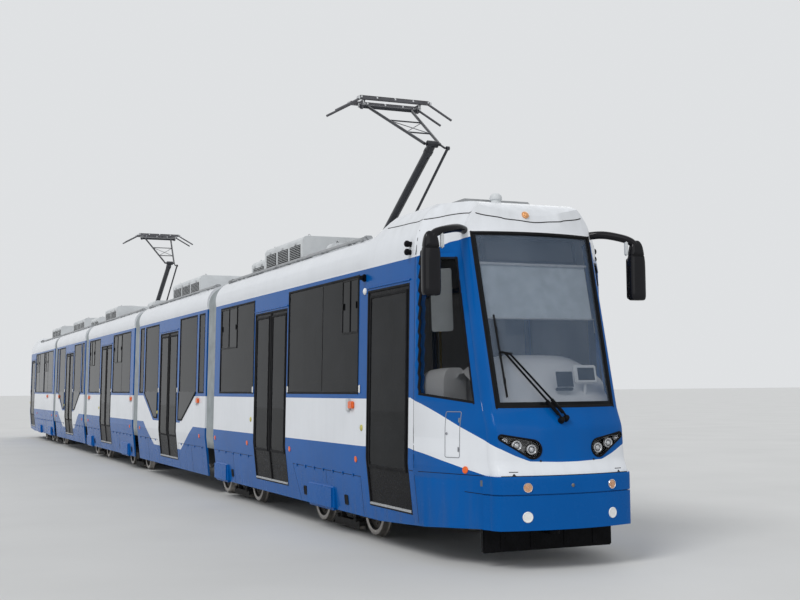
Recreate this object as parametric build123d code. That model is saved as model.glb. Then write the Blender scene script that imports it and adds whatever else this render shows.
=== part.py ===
from build123d import *
from math import cos, radians, sin
import os

# A five-section city tram that is driven from one end and has doors on its right side only.
# X points forward, Y to the tram's left, Z up, all in millimetres. Z is 0 at the wheel flanges.
# S is a distance back from the nose tip, and X is 0 in mid-length. S is given for a tram of LAYOUT_LENGTH,
# and STRETCH carries it to TOTAL_LENGTH.

# Whole tram
LAYOUT_LENGTH = 39700
TOTAL_LENGTH = 39700
STRETCH = TOTAL_LENGTH / LAYOUT_LENGTH
NOSE_X = TOTAL_LENGTH / 2
BODY_WIDTH = 2400
BODY_HALF = BODY_WIDTH / 2
WALL = 50
SEAT_GAP = 0.3
GANGWAY_GAP = 600

# Body cross-section: half-widths and the heights where they hold
SKIRT_HALF = BODY_HALF - 70
CANT_HALF = BODY_HALF - 50
SHOULDER_HALF = BODY_HALF - 120
ROOF_HALF = BODY_HALF - 330
SKIRT_Z = 315
BELT_Z = 1025
CANT_Z = 3275
SHOULDER_Z = 3575
ROOF_Z = 3690

# Heights of floors, doors and windows
FLOOR_T = 60
HIGH_FLOOR_Z = 900
LOW_FLOOR_Z = 485
DOOR_TOP_Z = 2975
DOOR_GLASS_Z = 935
WINDOW_Z = 1780
WINDOW_TOP_Z = 3195
GANGWAY_HALF = 650
GANGWAY_TOP_Z = 2950
BELLOWS_Z = 800

# Wheels and bogies
WHEEL_R = 327
FLANGE = 25
AXLE_Z = WHEEL_R + FLANGE
WHEEL_BACK_Y = 695
FLANGE_Y = 725
WHEEL_FACE_Y = 800
AXLE_R = 55
AXLE_END_Y = 885
WHEELBASE = 1900
BEAM_Y = 830
BEAM_END_Y = 900
BEAM_LOW_Z = 300
BEAM_TOP_Z = 520
TRANSOM_X = 260
BOLSTER_R = 300
BOLSTER_TOP_Z = 760

# Articulations
HINGE_PLATE_Z = 765
HINGE_PLATE_T = 33
HINGE_R = 250
PIN_R = 60
TURNTABLE_R = 630
RUNNING_GAP = 6

# Nose
TAPER_S = 1350
CORNER_S = 260
CORNER_HALF = 862
NOSE_END_S = 2100
DOME_Z = 3825
BUMPER_OUT = 30
BUMPER_Z = 415
BUMPER_TOP_Z = 965
BUMPER_END_S = 420

# Towing lug
TOW_S = 110
TOW_Z = 340
TOW_T = 40
TOW_BORE_R = 22

# Glass and doors
GLASS_SET = 8
GLASS_T = 16
DOOR_SET = 12
DOOR_T = 36
LEAF_FRAME = 70
LEAF_GAP = 12

# Roof-mounted current collector
ARM_BASE_S = 5100
ARM_BASE_Z = 3880
LOWER_ARM = 2100
LOWER_ARM_DEG = 31
UPPER_ARM = 1600
UPPER_ARM_DEG = 28.8
ARM_TUBE_R = 55
ARM_AXLE_R = 30
FRAME_TUBE_R = 20
HEAD_SHAFT_R = 26
ROD_R = 18
ROD_PIN_R = 12
CRANK_Y = 110
ROD_Y = 152
KNEE_R = 45
KNEE_PIN_R = 16
ROD_BASE = (418, -24)
ROD_LUG = (140, -70)
HEAD_HALF = 870
HEAD_STRIP_HALF = 520
SECOND_ARM_BASE_S = 20600

# Cars: name, front S, rear S
CARS = [
    ("a", 0, 9800),
    ("b", 10400, 16600),
    ("c", 17200, 24000),
    ("d", 24600, 30800),
    ("e", 31400, LAYOUT_LENGTH),
]
CAR_ENDS = {name: (front, rear) for name, front, rear in CARS}

# Bogies: name, car, S of the pivot
BOGIES = [
    ("bogie_1", "a", 4350),
    ("bogie_2", "a", 9400),
    ("bogie_3", "c", 18250),
    ("bogie_4", "c", 23600),
    ("bogie_5", "e", 32450),
    ("bogie_6", "e", 35350),
]

# Doors on the right side: car, front S, rear S, leaves
DOORS = [
    ("a", 1450, 2660, 1),
    ("a", 5770, 7350, 2),
    ("b", 12700, 14300, 2),
    ("c", 20150, 21750, 2),
    ("d", 26900, 28500, 2),
    ("e", 37040, 38250, 1),
]

# Windows: car, side (-1 right, 1 left), front S, rear S
WINDOWS = [
    ("a", -1, 2960, 5700),
    ("a", -1, 7420, 9440),
    ("a", 1, 1450, 2860),
    ("a", 1, 2960, 5700),
    ("a", 1, 5780, 7350),
    ("a", 1, 7420, 9440),
    ("b", -1, 10560, 10970),
    ("b", -1, 11140, 12510),
    ("b", -1, 14490, 15860),
    ("b", -1, 16030, 16440),
    ("b", 1, 10560, 10970),
    ("b", 1, 11140, 12510),
    ("b", 1, 12700, 14300),
    ("b", 1, 14490, 15860),
    ("b", 1, 16030, 16440),
    ("c", -1, 17620, 19950),
    ("c", -1, 21950, 23760),
    ("c", 1, 17620, 19950),
    ("c", 1, 20150, 21750),
    ("c", 1, 21950, 23760),
    ("d", -1, 24760, 25170),
    ("d", -1, 25340, 26710),
    ("d", -1, 28690, 30060),
    ("d", -1, 30230, 30640),
    ("d", 1, 24760, 25170),
    ("d", 1, 25340, 26710),
    ("d", 1, 26900, 28500),
    ("d", 1, 28690, 30060),
    ("d", 1, 30230, 30640),
    ("e", -1, 31760, 34180),
    ("e", -1, 34280, 36740),
    ("e", 1, 31760, 34180),
    ("e", 1, 34280, 36740),
    ("e", 1, 36860, 38250),
]

# Floors: car, front S, rear S, height of the top
FLOORS = [
    ("a", 330, 1380, HIGH_FLOOR_Z),
    ("a", 1380, 2760, LOW_FLOOR_Z),
    ("a", 2760, 5770, HIGH_FLOOR_Z),
    ("a", 5770, 7450, LOW_FLOOR_Z),
    ("a", 7450, 9800, HIGH_FLOOR_Z),
    ("b", 10400, 12000, HIGH_FLOOR_Z),
    ("b", 12000, 15000, LOW_FLOOR_Z),
    ("b", 15000, 16600, HIGH_FLOOR_Z),
    ("c", 17200, 19850, HIGH_FLOOR_Z),
    ("c", 19850, 21990, LOW_FLOOR_Z),
    ("c", 21990, 24000, HIGH_FLOOR_Z),
    ("d", 24600, 26200, HIGH_FLOOR_Z),
    ("d", 26200, 29200, LOW_FLOOR_Z),
    ("d", 29200, 30800, HIGH_FLOOR_Z),
    ("e", 31400, 36950, HIGH_FLOOR_Z),
    ("e", 36950, 38330, LOW_FLOOR_Z),
    ("e", 38330, 39300, HIGH_FLOOR_Z),
]

# Seats: car, S of the first row, rows, pitch, floor height
SEATS = [
    ("a", 3200, 3, 800, HIGH_FLOOR_Z),
    ("a", 7800, 2, 800, HIGH_FLOOR_Z),
    ("b", 10900, 1, 800, HIGH_FLOOR_Z),
    ("b", 15600, 1, 800, HIGH_FLOOR_Z),
    ("c", 17900, 2, 800, HIGH_FLOOR_Z),
    ("c", 22500, 1, 800, HIGH_FLOOR_Z),
    ("d", 25100, 1, 800, HIGH_FLOOR_Z),
    ("d", 29800, 1, 800, HIGH_FLOOR_Z),
    ("e", 32100, 6, 800, HIGH_FLOOR_Z),
]

# Roof boxes: car, front S, rear S, right Y, left Y, height
ROOF_BOXES = [
    ("a", 5750, 5950, -500, 500, 260),
    ("a", 6150, 8050, -800, 800, 400),
    ("a", 8350, 9150, -700, 300, 300),
    ("b", 12400, 14800, -800, 800, 380),
    ("b", 15200, 16000, -450, 450, 180),
    ("c", 17700, 18500, -600, 600, 260),
    ("c", 21600, 23400, -800, 800, 380),
    ("d", 25200, 26600, -700, 700, 300),
    ("d", 27200, 29600, -800, 800, 380),
    ("e", 32600, 35000, -800, 800, 400),
    ("e", 35600, 36500, -600, 600, 250),
]


def at(s):
    """X of a distance back from the nose tip."""
    return NOSE_X - s * STRETCH


def section(inset=0, bottom=SKIRT_Z, rise=0):
    """Outline of a car across the tram, moved inwards by inset, with its roof raised by rise."""
    belt = (BODY_HALF - inset, BELT_Z)
    cant = (CANT_HALF - inset, CANT_Z)
    shoulder = (SHOULDER_HALF - inset, SHOULDER_Z - inset + rise / 2)
    roof = (ROOF_HALF - inset, ROOF_Z - inset + rise)
    side = Polyline((SKIRT_HALF - inset, bottom), belt, cant)
    side += ThreePointArc(cant, shoulder, roof)
    side += Line(roof, (0, roof[1]))
    base = Line((SKIRT_HALF - inset, bottom), (inset - SKIRT_HALF, bottom))
    return Plane.YZ * make_face(side + mirror(side, Plane.YZ) + base)


def along(face, front, rear):
    """Extrudes a face that lies across the tram between two S."""
    return Pos(at(rear), 0, 0) * extrude(face, amount=at(front) - at(rear))


def block(front, rear, right, left, low, high):
    """A box between two S, two Y and two heights."""
    size = Box(at(front) - at(rear), left - right, high - low)
    return Pos(at((front + rear) / 2), (left + right) / 2, (low + high) / 2) * size


def round_post(s, y, radius, low, high):
    """An upright cylinder between two heights."""
    return Pos(at(s), y, (low + high) / 2) * Cylinder(radius, high - low)


def nose_plan(inset):
    """The nose seen from above, over all heights: a taper, round corners and a bowed front."""
    slope = (BODY_HALF - CORNER_HALF) / (TAPER_S - CORNER_S)
    wide = CORNER_HALF + slope * (NOSE_END_S - CORNER_S)
    corner = (at(CORNER_S + inset), CORNER_HALF - inset)
    bend = (at(CORNER_S * 0.55 + inset), CORNER_HALF - 52 - inset)
    front = (at(CORNER_S * 0.38 + inset), CORNER_HALF - 140 - inset)
    side = Line((at(NOSE_END_S), wide - inset), corner)
    side += ThreePointArc(corner, bend, front)
    bow = ThreePointArc(front, (at(inset), 0), (front[0], -front[1]))
    back = Line((at(NOSE_END_S), wide - inset), (at(NOSE_END_S), inset - wide))
    return extrude(make_face(side + mirror(side, Plane.XZ) + bow + back), amount=2 * DOME_Z)


def nose_profile(inset):
    """The nose seen from the side: upright front, ridge, raked windscreen and domed roof."""
    low = (at(inset), 0)
    ridge = (at(20 + inset), 1425)
    sill = (at(115 + inset), 1600)
    head = (at(450 + inset), 3500 - inset)
    brow = (at(570 + inset), 3700 - inset)
    crown = (at(1050), DOME_Z - inset)
    end = (at(NOSE_END_S), ROOF_Z - inset)
    edge = Polyline(low, ridge, sill, head)
    edge += ThreePointArc(head, brow, crown)
    edge += ThreePointArc(crown, (at(1600), DOME_Z - 40 - inset), end)
    edge += Polyline(end, (at(NOSE_END_S), 0), low)
    face = Plane.XZ * make_face(edge)
    return extrude(face, amount=BODY_WIDTH, both=True)


def nose(inset, bottom):
    """The tapered and domed front of the first car, solid."""
    across = section(inset, bottom, DOME_Z - ROOF_Z)
    return along(across, -100, NOSE_END_S) & nose_plan(inset) & nose_profile(inset)


def car_solid(name, inset=0, bottom=SKIRT_Z):
    """The whole car as one solid, moved inwards by inset."""
    front, rear = CAR_ENDS[name]
    if name == "a":
        return nose(inset, bottom) + along(section(inset, bottom), NOSE_END_S, rear)
    if name == "e":
        tail = mirror(nose(inset, bottom), Plane.YZ)
        return along(section(inset, bottom), front, rear - NOSE_END_S) + tail
    return along(section(inset, bottom), front, rear)


def side_prism(side, front, rear, low, high, margin=0):
    """A prism through one side wall, made smaller all round by margin."""
    inner, outer = 700, BODY_HALF + 200
    right, left = (inner, outer) if side > 0 else (-outer, -inner)
    return block(front + margin, rear - margin, right, left, low + margin, high - margin)


def cab_window(side):
    """The cab's side window, a trapezium with a raked front edge."""
    points = [(at(1190), 1640), (at(290), 1640), (at(560), 3220), (at(1190), 3220)]
    face = Plane.XZ * make_face(Polyline(*points, close=True))
    return Pos(0, side * BODY_HALF, 0) * extrude(face, amount=450, both=True)


def windscreen():
    """The windscreen's outline, run through the front."""
    points = [(-665, 1640), (665, 1640), (725, 3480), (-725, 3480)]
    face = Plane.YZ * make_face(Polyline(*points, close=True))
    return Pos(at(800), 0, 0) * extrude(face, amount=900)


def headlamp(side):
    """A lamp cluster's outline beside the nose, wide at its inner end, run through the front."""
    inner = Pos(430, 1245) * Circle(95)
    outer = Pos(740, 1320) * Circle(55)
    face = Plane.YZ * make_hull((inner + outer).edges())
    left = Pos(at(150), 0, 0) * extrude(face, amount=250, both=True)
    return left if side > 0 else mirror(left, Plane.XZ)


def in_tail(solid):
    """The same feature at the tram's rear."""
    return mirror(solid, Plane.YZ)


def car_windows(name):
    """All openings of one car that hold glass, apart from those in its doors."""
    found = [
        side_prism(side, front, rear, WINDOW_Z, WINDOW_TOP_Z)
        for car, side, front, rear in WINDOWS
        if car == name
    ]
    cab = [cab_window(-1), cab_window(1), windscreen()]
    if name == "a":
        found += cab
    if name == "e":
        found += [in_tail(solid) for solid in cab]
    return found


def car_doors(name):
    """The doorways of one car."""
    return [
        side_prism(-1, front, rear, LOW_FLOOR_Z, DOOR_TOP_Z)
        for car, front, rear, leaves in DOORS
        if car == name
    ]


def door_leaves(name):
    """Front S and rear S of each door leaf of one car."""
    found = []
    for car, front, rear, leaves in DOORS:
        width = (rear - front - LEAF_GAP * (leaves - 1)) / leaves
        for k in range(leaves):
            start = front + k * (width + LEAF_GAP)
            if car == name:
                found.append((start, start + width))
    return found


def joined(solids):
    """All solids of a list as one shape."""
    return solids[0].fuse(*solids[1:]) if len(solids) > 1 else solids[0]


def portal(s, inwards):
    """The end wall round a gangway. It lies behind the car's end plane, on the side inwards."""
    front, rear = sorted((s, s + inwards * WALL))
    wall = along(section(WALL / 2, HIGH_FLOOR_Z), front, rear)
    opening = block(front, rear, -GANGWAY_HALF, GANGWAY_HALF, 0, GANGWAY_TOP_Z)
    return wall - opening


def shell(name):
    """The car's side walls, roof and end walls."""
    front, rear = CAR_ENDS[name]
    body = car_solid(name) - car_solid(name, WALL, 0)
    if name != "a":
        body += portal(front, 1)
    if name != "e":
        body += portal(rear, -1)
    for opening in car_windows(name) + car_doors(name):
        body -= opening
    cut = joined([headlamp(1), headlamp(-1), bumper_space()])
    if name == "a":
        body -= cut
    if name == "e":
        body -= in_tail(cut)
    return body


def bumper_space():
    """The part of the nose that the bumper takes up."""
    return block(-100, BUMPER_END_S, -BODY_HALF, BODY_HALF, 0, BUMPER_TOP_Z)


def bumper():
    """The bumper round the nose, in an upper and a lower part with a groove between them."""
    space = block(-100, BUMPER_END_S, -BODY_HALF, BODY_HALF, BUMPER_Z, BUMPER_TOP_Z)
    upper = nose(-BUMPER_OUT, SKIRT_Z) & space
    inner = nose(WALL, 0)
    groove_z = 795
    groove = block(-100, BUMPER_END_S, -BODY_HALF, BODY_HALF, groove_z - 8, groove_z + 8)
    rim = nose(-BUMPER_OUT, SKIRT_Z) - nose(0, SKIRT_Z)
    return upper - inner - (rim & groove)


def glazing(name):
    """Every pane of one car, with those in its doors."""
    panes = car_windows(name)
    for front, rear in door_leaves(name):
        panes.append(side_prism(-1, front, rear, DOOR_GLASS_Z - LEAF_FRAME, DOOR_TOP_Z, LEAF_FRAME))
    skin = car_solid(name, GLASS_SET) - car_solid(name, GLASS_SET + GLASS_T, 0)
    return [skin & pane for pane in panes]


def doors(name):
    """The door leaves of one car, each a frame round its glass."""
    skin = car_solid(name, DOOR_SET) - car_solid(name, DOOR_SET + DOOR_T, 0)
    glass = car_solid(name) - car_solid(name, GLASS_SET + GLASS_T, 0)
    leaves = []
    for front, rear in door_leaves(name):
        leaf = skin & side_prism(-1, front, rear, LOW_FLOOR_Z, DOOR_TOP_Z)
        hole = side_prism(-1, front, rear, DOOR_GLASS_Z - LEAF_FRAME, DOOR_TOP_Z, LEAF_FRAME)
        leaves.append(leaf - hole)
    return leaves


def seat(s, y, width, floor):
    """A seat on a pedestal, facing forwards, for one or two people."""
    pan = block(s, s + 430, y - width / 2, y + width / 2, floor + 420, floor + 470)
    back = block(s + 430, s + 480, y - width / 2, y + width / 2, floor + 420, floor + 980)
    leg = block(s + 120, s + 360, y - 60, y + 60, floor, floor + 420)
    return pan + back + leg


def hinge_s(front_car):
    """S of the articulation behind a car."""
    return CAR_ENDS[front_car][1] + GANGWAY_GAP / 2


def hinge_tongue(front_car):
    """Lower plate of an articulation, on the car ahead, with its pin."""
    s = hinge_s(front_car)
    end = CAR_ENDS[front_car][1]
    top = HINGE_PLATE_Z + HINGE_PLATE_T
    plate = block(end - 900, s, -HINGE_R, HINGE_R, HINGE_PLATE_Z, top)
    plate += round_post(s, 0, HINGE_R, HINGE_PLATE_Z, top)
    root = block(end - 900, end - 400, -HINGE_R, HINGE_R, HINGE_PLATE_Z, HIGH_FLOOR_Z - FLOOR_T)
    pin = round_post(s, 0, PIN_R, HINGE_PLATE_Z, top + HINGE_PLATE_T)
    return plate + root + pin


def hinge_eye(front_car, rear_car):
    """Upper plate of an articulation, on the car behind, with the turntable that people walk on."""
    s = hinge_s(front_car)
    end = CAR_ENDS[rear_car][0]
    low = HINGE_PLATE_Z + HINGE_PLATE_T + SEAT_GAP
    plate = block(s, end + 250, -HINGE_R, HINGE_R, low, low + HINGE_PLATE_T)
    plate += round_post(s, 0, HINGE_R, low, low + HINGE_PLATE_T)
    plate -= round_post(s, 0, PIN_R + SEAT_GAP, 0, HIGH_FLOOR_Z)
    root = block(end, end + 250, -HINGE_R, HINGE_R, low, HIGH_FLOOR_Z - FLOOR_T)
    table = round_post(s, 0, TURNTABLE_R, HIGH_FLOOR_Z - FLOOR_T, HIGH_FLOOR_Z)
    return plate + root + table


def interior(name):
    """Floor, steps, bolster pads, seats and poles of one car, welded into one structure."""
    front, rear = CAR_ENDS[name]
    cavity = car_solid(name, WALL, SKIRT_Z)
    levels = [(s0, s1, z) for car, s0, s1, z in FLOORS if car == name]
    pieces = []
    last_z = None
    for s0, s1, z in levels:
        pieces.append(block(s0, s1, -BODY_HALF, BODY_HALF, z - FLOOR_T, z))
        if last_z is not None:
            low_side = s0 - FLOOR_T if z > last_z else s0
            riser = block(low_side, low_side + FLOOR_T, -BODY_HALF, BODY_HALF, LOW_FLOOR_Z - FLOOR_T, HIGH_FLOOR_Z)
            pieces.append(riser)
        last_z = z
    floor = joined(pieces) & cavity
    index = [car for car, _, _ in CARS].index(name)
    if index < len(CARS) - 1:
        floor -= round_post(hinge_s(name), 0, TURNTABLE_R + RUNNING_GAP, 0, ROOF_Z)
        floor += hinge_tongue(name)
    if index:
        floor += hinge_eye(CARS[index - 1][0], name)
    for bogie, car, s in BOGIES:
        if car == name:
            floor += round_post(s, 0, BOLSTER_R, BOLSTER_TOP_Z, HIGH_FLOOR_Z - FLOOR_T)
    for car, s0, rows, pitch, z in SEATS:
        for k in range(rows if car == name else 0):
            floor += seat(s0 + k * pitch, BODY_HALF - 500, 860, z)
            floor += seat(s0 + k * pitch, 340 - BODY_HALF, 430, z)
    return floor


def driver_place():
    """The desk and seat of the driver, on the cab floor."""
    desk = block(420, 700, -600, 600, HIGH_FLOOR_Z, 1560)
    return desk + seat(950, 100, 480, HIGH_FLOOR_Z)


def front_guard():
    """Guard plate under the nose with its two arms and the towing lug."""
    guard = block(180, 260, -750, 750, 150, BUMPER_Z)
    for y in (-340, 340):
        guard += block(260, 760, y - 40, y + 40, 300, HIGH_FLOOR_Z - FLOOR_T)
    lug = block(110, 180, -70, 70, TOW_Z - TOW_T / 2, TOW_Z + TOW_T / 2)
    lug += round_post(TOW_S, 0, 70, TOW_Z - TOW_T / 2, TOW_Z + TOW_T / 2)
    return guard + lug - round_post(TOW_S, 0, TOW_BORE_R, 0, BUMPER_Z)


def bellows(front_car):
    """Folded wall round an articulation, open below."""
    front = CAR_ENDS[front_car][1]
    rear = front + GANGWAY_GAP
    outer = along(section(25, BELLOWS_Z), front, rear)
    return outer - along(section(115, 0), front, rear)


def wheelset(x):
    """Two wheels on their axle, turned as one piece."""
    half = [
        (AXLE_R, WHEEL_BACK_Y),
        (AXLE_Z, WHEEL_BACK_Y),
        (WHEEL_R, FLANGE_Y),
        (WHEEL_R, WHEEL_FACE_Y),
        (AXLE_R, WHEEL_FACE_Y),
        (AXLE_R, AXLE_END_Y),
        (0, AXLE_END_Y),
    ]
    end = [(radius, -y) for radius, y in reversed(half)]
    profile = make_face(Polyline(*end, *half, close=True))
    return Pos(x, 0, AXLE_Z) * revolve(profile, Axis.Y)


def bogie_frame(s):
    """Side beams outside the wheels, two cross beams, a bolster, motors and track brakes."""
    half = WHEELBASE / 2
    outline = [
        (-half - 140, BEAM_LOW_Z - 60),
        (-half + 160, BEAM_LOW_Z - 60),
        (-half + 330, BEAM_LOW_Z + 60),
        (half - 330, BEAM_LOW_Z + 60),
        (half - 160, BEAM_LOW_Z - 60),
        (half + 140, BEAM_LOW_Z - 60),
        (half + 140, BEAM_TOP_Z - 70),
        (half - 200, BEAM_TOP_Z),
        (-half + 200, BEAM_TOP_Z),
        (-half - 140, BEAM_TOP_Z - 70),
    ]
    face = Plane.XZ * make_face(Polyline(*outline, close=True))
    beam = Pos(0, BEAM_END_Y, 0) * extrude(face, amount=BEAM_END_Y - BEAM_Y)
    for end in (-half, half):
        bore = Cylinder(AXLE_R + SEAT_GAP, 3 * BEAM_Y, rotation=(90, 0, 0))
        beam -= Pos(end, 0, AXLE_Z) * bore
    frame = beam + mirror(beam, Plane.XZ)
    for x in (-TRANSOM_X, TRANSOM_X):
        frame += Pos(x, 0, 450) * Box(160, 2 * BEAM_Y, 120)
        frame += Pos(x, 0, 400) * Box(240, 620, 260)
    bolster_top = BOLSTER_TOP_Z - SEAT_GAP
    frame += Pos(0, 0, 560) * Box(600, 1100, 100)
    frame += Pos(0, 0, (450 + bolster_top) / 2) * Cylinder(BOLSTER_R - 60, bolster_top - 450)
    for side in (-1, 1):
        frame += Pos(0, side * 760, 90) * Box(900, 90, 100)
        for x in (-TRANSOM_X, TRANSOM_X):
            frame += Pos(x, side * 760, 275) * Box(60, 60, 290)
    return Pos(at(s), 0, 0) * frame


def tube(start, end, radius):
    """A straight round bar between two points."""
    way = Vector(*end) - Vector(*start)
    plane = Plane(origin=start, z_dir=way)
    return extrude(plane * Circle(radius), amount=way.length)


def arm_points(base_s):
    """Pivot points of a current collector, as X and Z: base, knee, head, rod base and rod lug."""
    base = (at(base_s), ARM_BASE_Z)
    lower, upper = radians(LOWER_ARM_DEG), radians(UPPER_ARM_DEG)
    knee = (base[0] + LOWER_ARM * cos(lower), base[1] + LOWER_ARM * sin(lower))
    head = (knee[0] - UPPER_ARM * cos(upper), knee[1] + UPPER_ARM * sin(upper))
    rod = (base[0] + ROD_BASE[0], base[1] + ROD_BASE[1])
    lug = (knee[0] + ROD_LUG[0], knee[1] + ROD_LUG[1])
    return base, knee, head, rod, lug


def cross_pin(point, half, radius):
    """A round bar across the tram at a pivot."""
    return tube((point[0], -half, point[1]), (point[0], half, point[1]), radius)


def arm_frame(base_s):
    """Frame of a current collector on its insulators, with bearings for the arm and the rod."""
    base, _, _, rod, _ = arm_points(base_s)
    low, high = ROOF_Z + 80, ROOF_Z + 130
    frame = block(base_s - 650, base_s + 300, -450, -390, low, high)
    frame += block(base_s - 650, base_s + 300, 390, 450, low, high)
    for s in (base_s - 650, base_s - 448, base_s - 30, base_s + 240):
        frame += block(s, s + 60, -450, 450, low, high)
    for x in (-600, 250):
        for y in (-420, 420):
            frame += Pos(base[0] - x, y, 0) * Pos(0, 0, (ROOF_Z + low) / 2) * Cylinder(45, low - ROOF_Z)
    for y in (-190, 190):
        bearing = Pos(base[0], y, (low + base[1] + 45) / 2) * Box(100, 30, base[1] + 45 - low)
        frame += bearing
    frame -= cross_pin(base, 400, ARM_AXLE_R + SEAT_GAP)
    for y in (ROD_Y - 44, ROD_Y + 44):
        frame += Pos(rod[0], y, (low + rod[1] + 25) / 2) * Box(50, 16, rod[1] + 25 - low)
    return frame + Pos(0, ROD_Y, 0) * cross_pin(rod, 44, ROD_PIN_R)


def lower_arm(base_s):
    """Thick lower arm with its axle at the base and a sleeve at the knee."""
    base, knee, _, _, _ = arm_points(base_s)
    arm = tube((base[0], 0, base[1]), (knee[0], 0, knee[1]), ARM_TUBE_R)
    arm += cross_pin(base, 150, KNEE_R) + cross_pin(base, 205, ARM_AXLE_R)
    arm += cross_pin(knee, CRANK_Y - 40, KNEE_R)
    return arm - cross_pin(knee, CRANK_Y, KNEE_PIN_R + SEAT_GAP)


def upper_frame(base_s):
    """Two tubes that spread from the knee shaft to the head, with the rod's crank at the knee."""
    _, knee, head, _, lug = arm_points(base_s)
    frame = cross_pin(knee, CRANK_Y, KNEE_PIN_R)
    frame += tube((knee[0], CRANK_Y, knee[1]), (lug[0], CRANK_Y, lug[1]), 14)
    for side in (-1, 1):
        foot = (knee[0], side * CRANK_Y, knee[1])
        top = (head[0], side * 330, head[1])
        frame += tube(foot, top, FRAME_TUBE_R)
    return frame + cross_pin(head, 450, HEAD_SHAFT_R)


def head_bow(base_s):
    """Contact head: two strips with turned-down horns, on links at both sides."""
    _, _, head, _, _ = arm_points(base_s)
    top = head[1] + 75
    bow = None
    for x in (head[0] - 180, head[0] + 180):
        strip = Pos(x, 0, top) * Box(60, 2 * HEAD_STRIP_HALF, 40)
        for side in (-1, 1):
            strip += tube((x, side * (HEAD_STRIP_HALF - 30), top), (x, side * HEAD_HALF, top - 210), 16)
        bow = strip if bow is None else bow + strip
    for y in (-420, 420):
        bow += tube((head[0] - 180, y, top - 5), (head[0] + 180, y, top - 5), 14)
        bow += tube((head[0], y, head[1] + HEAD_SHAFT_R + 5), (head[0], y, top), 14)
        bow += Pos(0, y, 0) * cross_pin(head, 15, HEAD_SHAFT_R + 12)
    return bow - cross_pin(head, 500, HEAD_SHAFT_R + SEAT_GAP)


def control_rod(base_s):
    """Thin rod from the base to a place beside the crank, with an eye at each end."""
    _, _, _, rod, lug = arm_points(base_s)
    bar = tube((rod[0], 0, rod[1]), (lug[0], 0, lug[1]), ROD_R)
    for eye in (rod, lug):
        bar += cross_pin(eye, 20, 26)
    for eye in (rod, lug):
        bar -= cross_pin(eye, 60, ROD_PIN_R + SEAT_GAP)
    return Pos(0, ROD_Y, 0) * bar


def roof_gear(name):
    """Boxes on the roof of one car, and the current collector's frame where it has one."""
    found = []
    for car, front, rear, right, left, height in ROOF_BOXES:
        if car == name:
            box = block(front, rear, right, left, ROOF_Z, ROOF_Z + height)
            found.append(fillet(box.edges().filter_by(Axis.X).group_by(Axis.Z)[-1], 80))
    for base_s, car in ((ARM_BASE_S, "a"), (SECOND_ARM_BASE_S, "c")):
        if car == name:
            found.append(arm_frame(base_s))
    return found


def headlamps():
    """The dark lamp clusters let into the nose."""
    skin = nose(-4, SKIRT_Z) - nose(WALL, 0)
    return [skin & headlamp(side) for side in (-1, 1)]


def mirrors():
    """Rear-view mirrors on both sides, each on an arm from the roof edge."""
    found = []
    for side in (-1, 1):
        arm = tube((at(450), side * 900, 3330), (at(330), side * 1290, 3330), 28)
        drop = tube((at(330), side * 1290, 3345), (at(330), side * 1290, 3200), 28)
        body = Pos(at(330), side * 1290, 3000) * Box(110, 190, 470)
        body = chamfer(body.edges(), 22)
        found.append(arm + drop + body - nose(0, SKIRT_Z))
    return found


def write(name, solids):
    """Writes one node, as one solid or as several that stand apart."""
    found = solids if isinstance(solids, list) else [solids]
    parts = [piece for shape in found for piece in shape.solids()]
    shape = parts[0] if len(parts) == 1 else Compound(children=parts)
    export_step(shape, f"parts/{name}.step")


os.makedirs("parts", exist_ok=True)
for car, _, _ in CARS:
    write(f"shell_{car}", shell(car))
    write(f"glazing_{car}", glazing(car))
    write(f"doors_{car}", doors(car))
    write(f"interior_{car}", interior(car))
    write(f"roof_gear_{car}", roof_gear(car))
    if car != "e":
        write(f"bellows_{car}", bellows(car))
for bogie, _, pivot_s in BOGIES:
    write(f"{bogie}_frame", bogie_frame(pivot_s))
    write(f"{bogie}_wheels_front", wheelset(at(pivot_s) + WHEELBASE / 2))
    write(f"{bogie}_wheels_rear", wheelset(at(pivot_s) - WHEELBASE / 2))
for collector, base_s in (("collector_a", ARM_BASE_S), ("collector_c", SECOND_ARM_BASE_S)):
    write(f"{collector}_lower_arm", lower_arm(base_s))
    write(f"{collector}_upper_frame", upper_frame(base_s))
    write(f"{collector}_head", head_bow(base_s))
    write(f"{collector}_rod", control_rod(base_s))
write("cab", [driver_place(), front_guard()])
write("bumper_front", bumper())
write("bumper_rear", in_tail(bumper()))
write("headlamps", headlamps())
write("mirrors", mirrors())
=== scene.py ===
import bmesh
import bpy
from math import acos, atan2, ceil, cos, hypot, pi, radians, sin, tan
from mathutils import Matrix, Vector
from mathutils.bvhtree import BVHTree


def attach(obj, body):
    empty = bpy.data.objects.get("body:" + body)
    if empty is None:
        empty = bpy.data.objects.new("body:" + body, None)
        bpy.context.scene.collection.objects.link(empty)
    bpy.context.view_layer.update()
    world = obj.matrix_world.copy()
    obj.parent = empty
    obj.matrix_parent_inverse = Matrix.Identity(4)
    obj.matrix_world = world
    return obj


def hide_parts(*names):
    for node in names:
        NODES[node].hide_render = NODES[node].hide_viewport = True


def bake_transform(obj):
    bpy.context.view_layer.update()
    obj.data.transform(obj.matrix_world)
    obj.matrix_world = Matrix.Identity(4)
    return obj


# A five-section city tram. X forward, Y to the tram's left, Z up, in metres, with Z 0 at the wheel flanges.
# S is a distance back from the nose tip.

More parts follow.
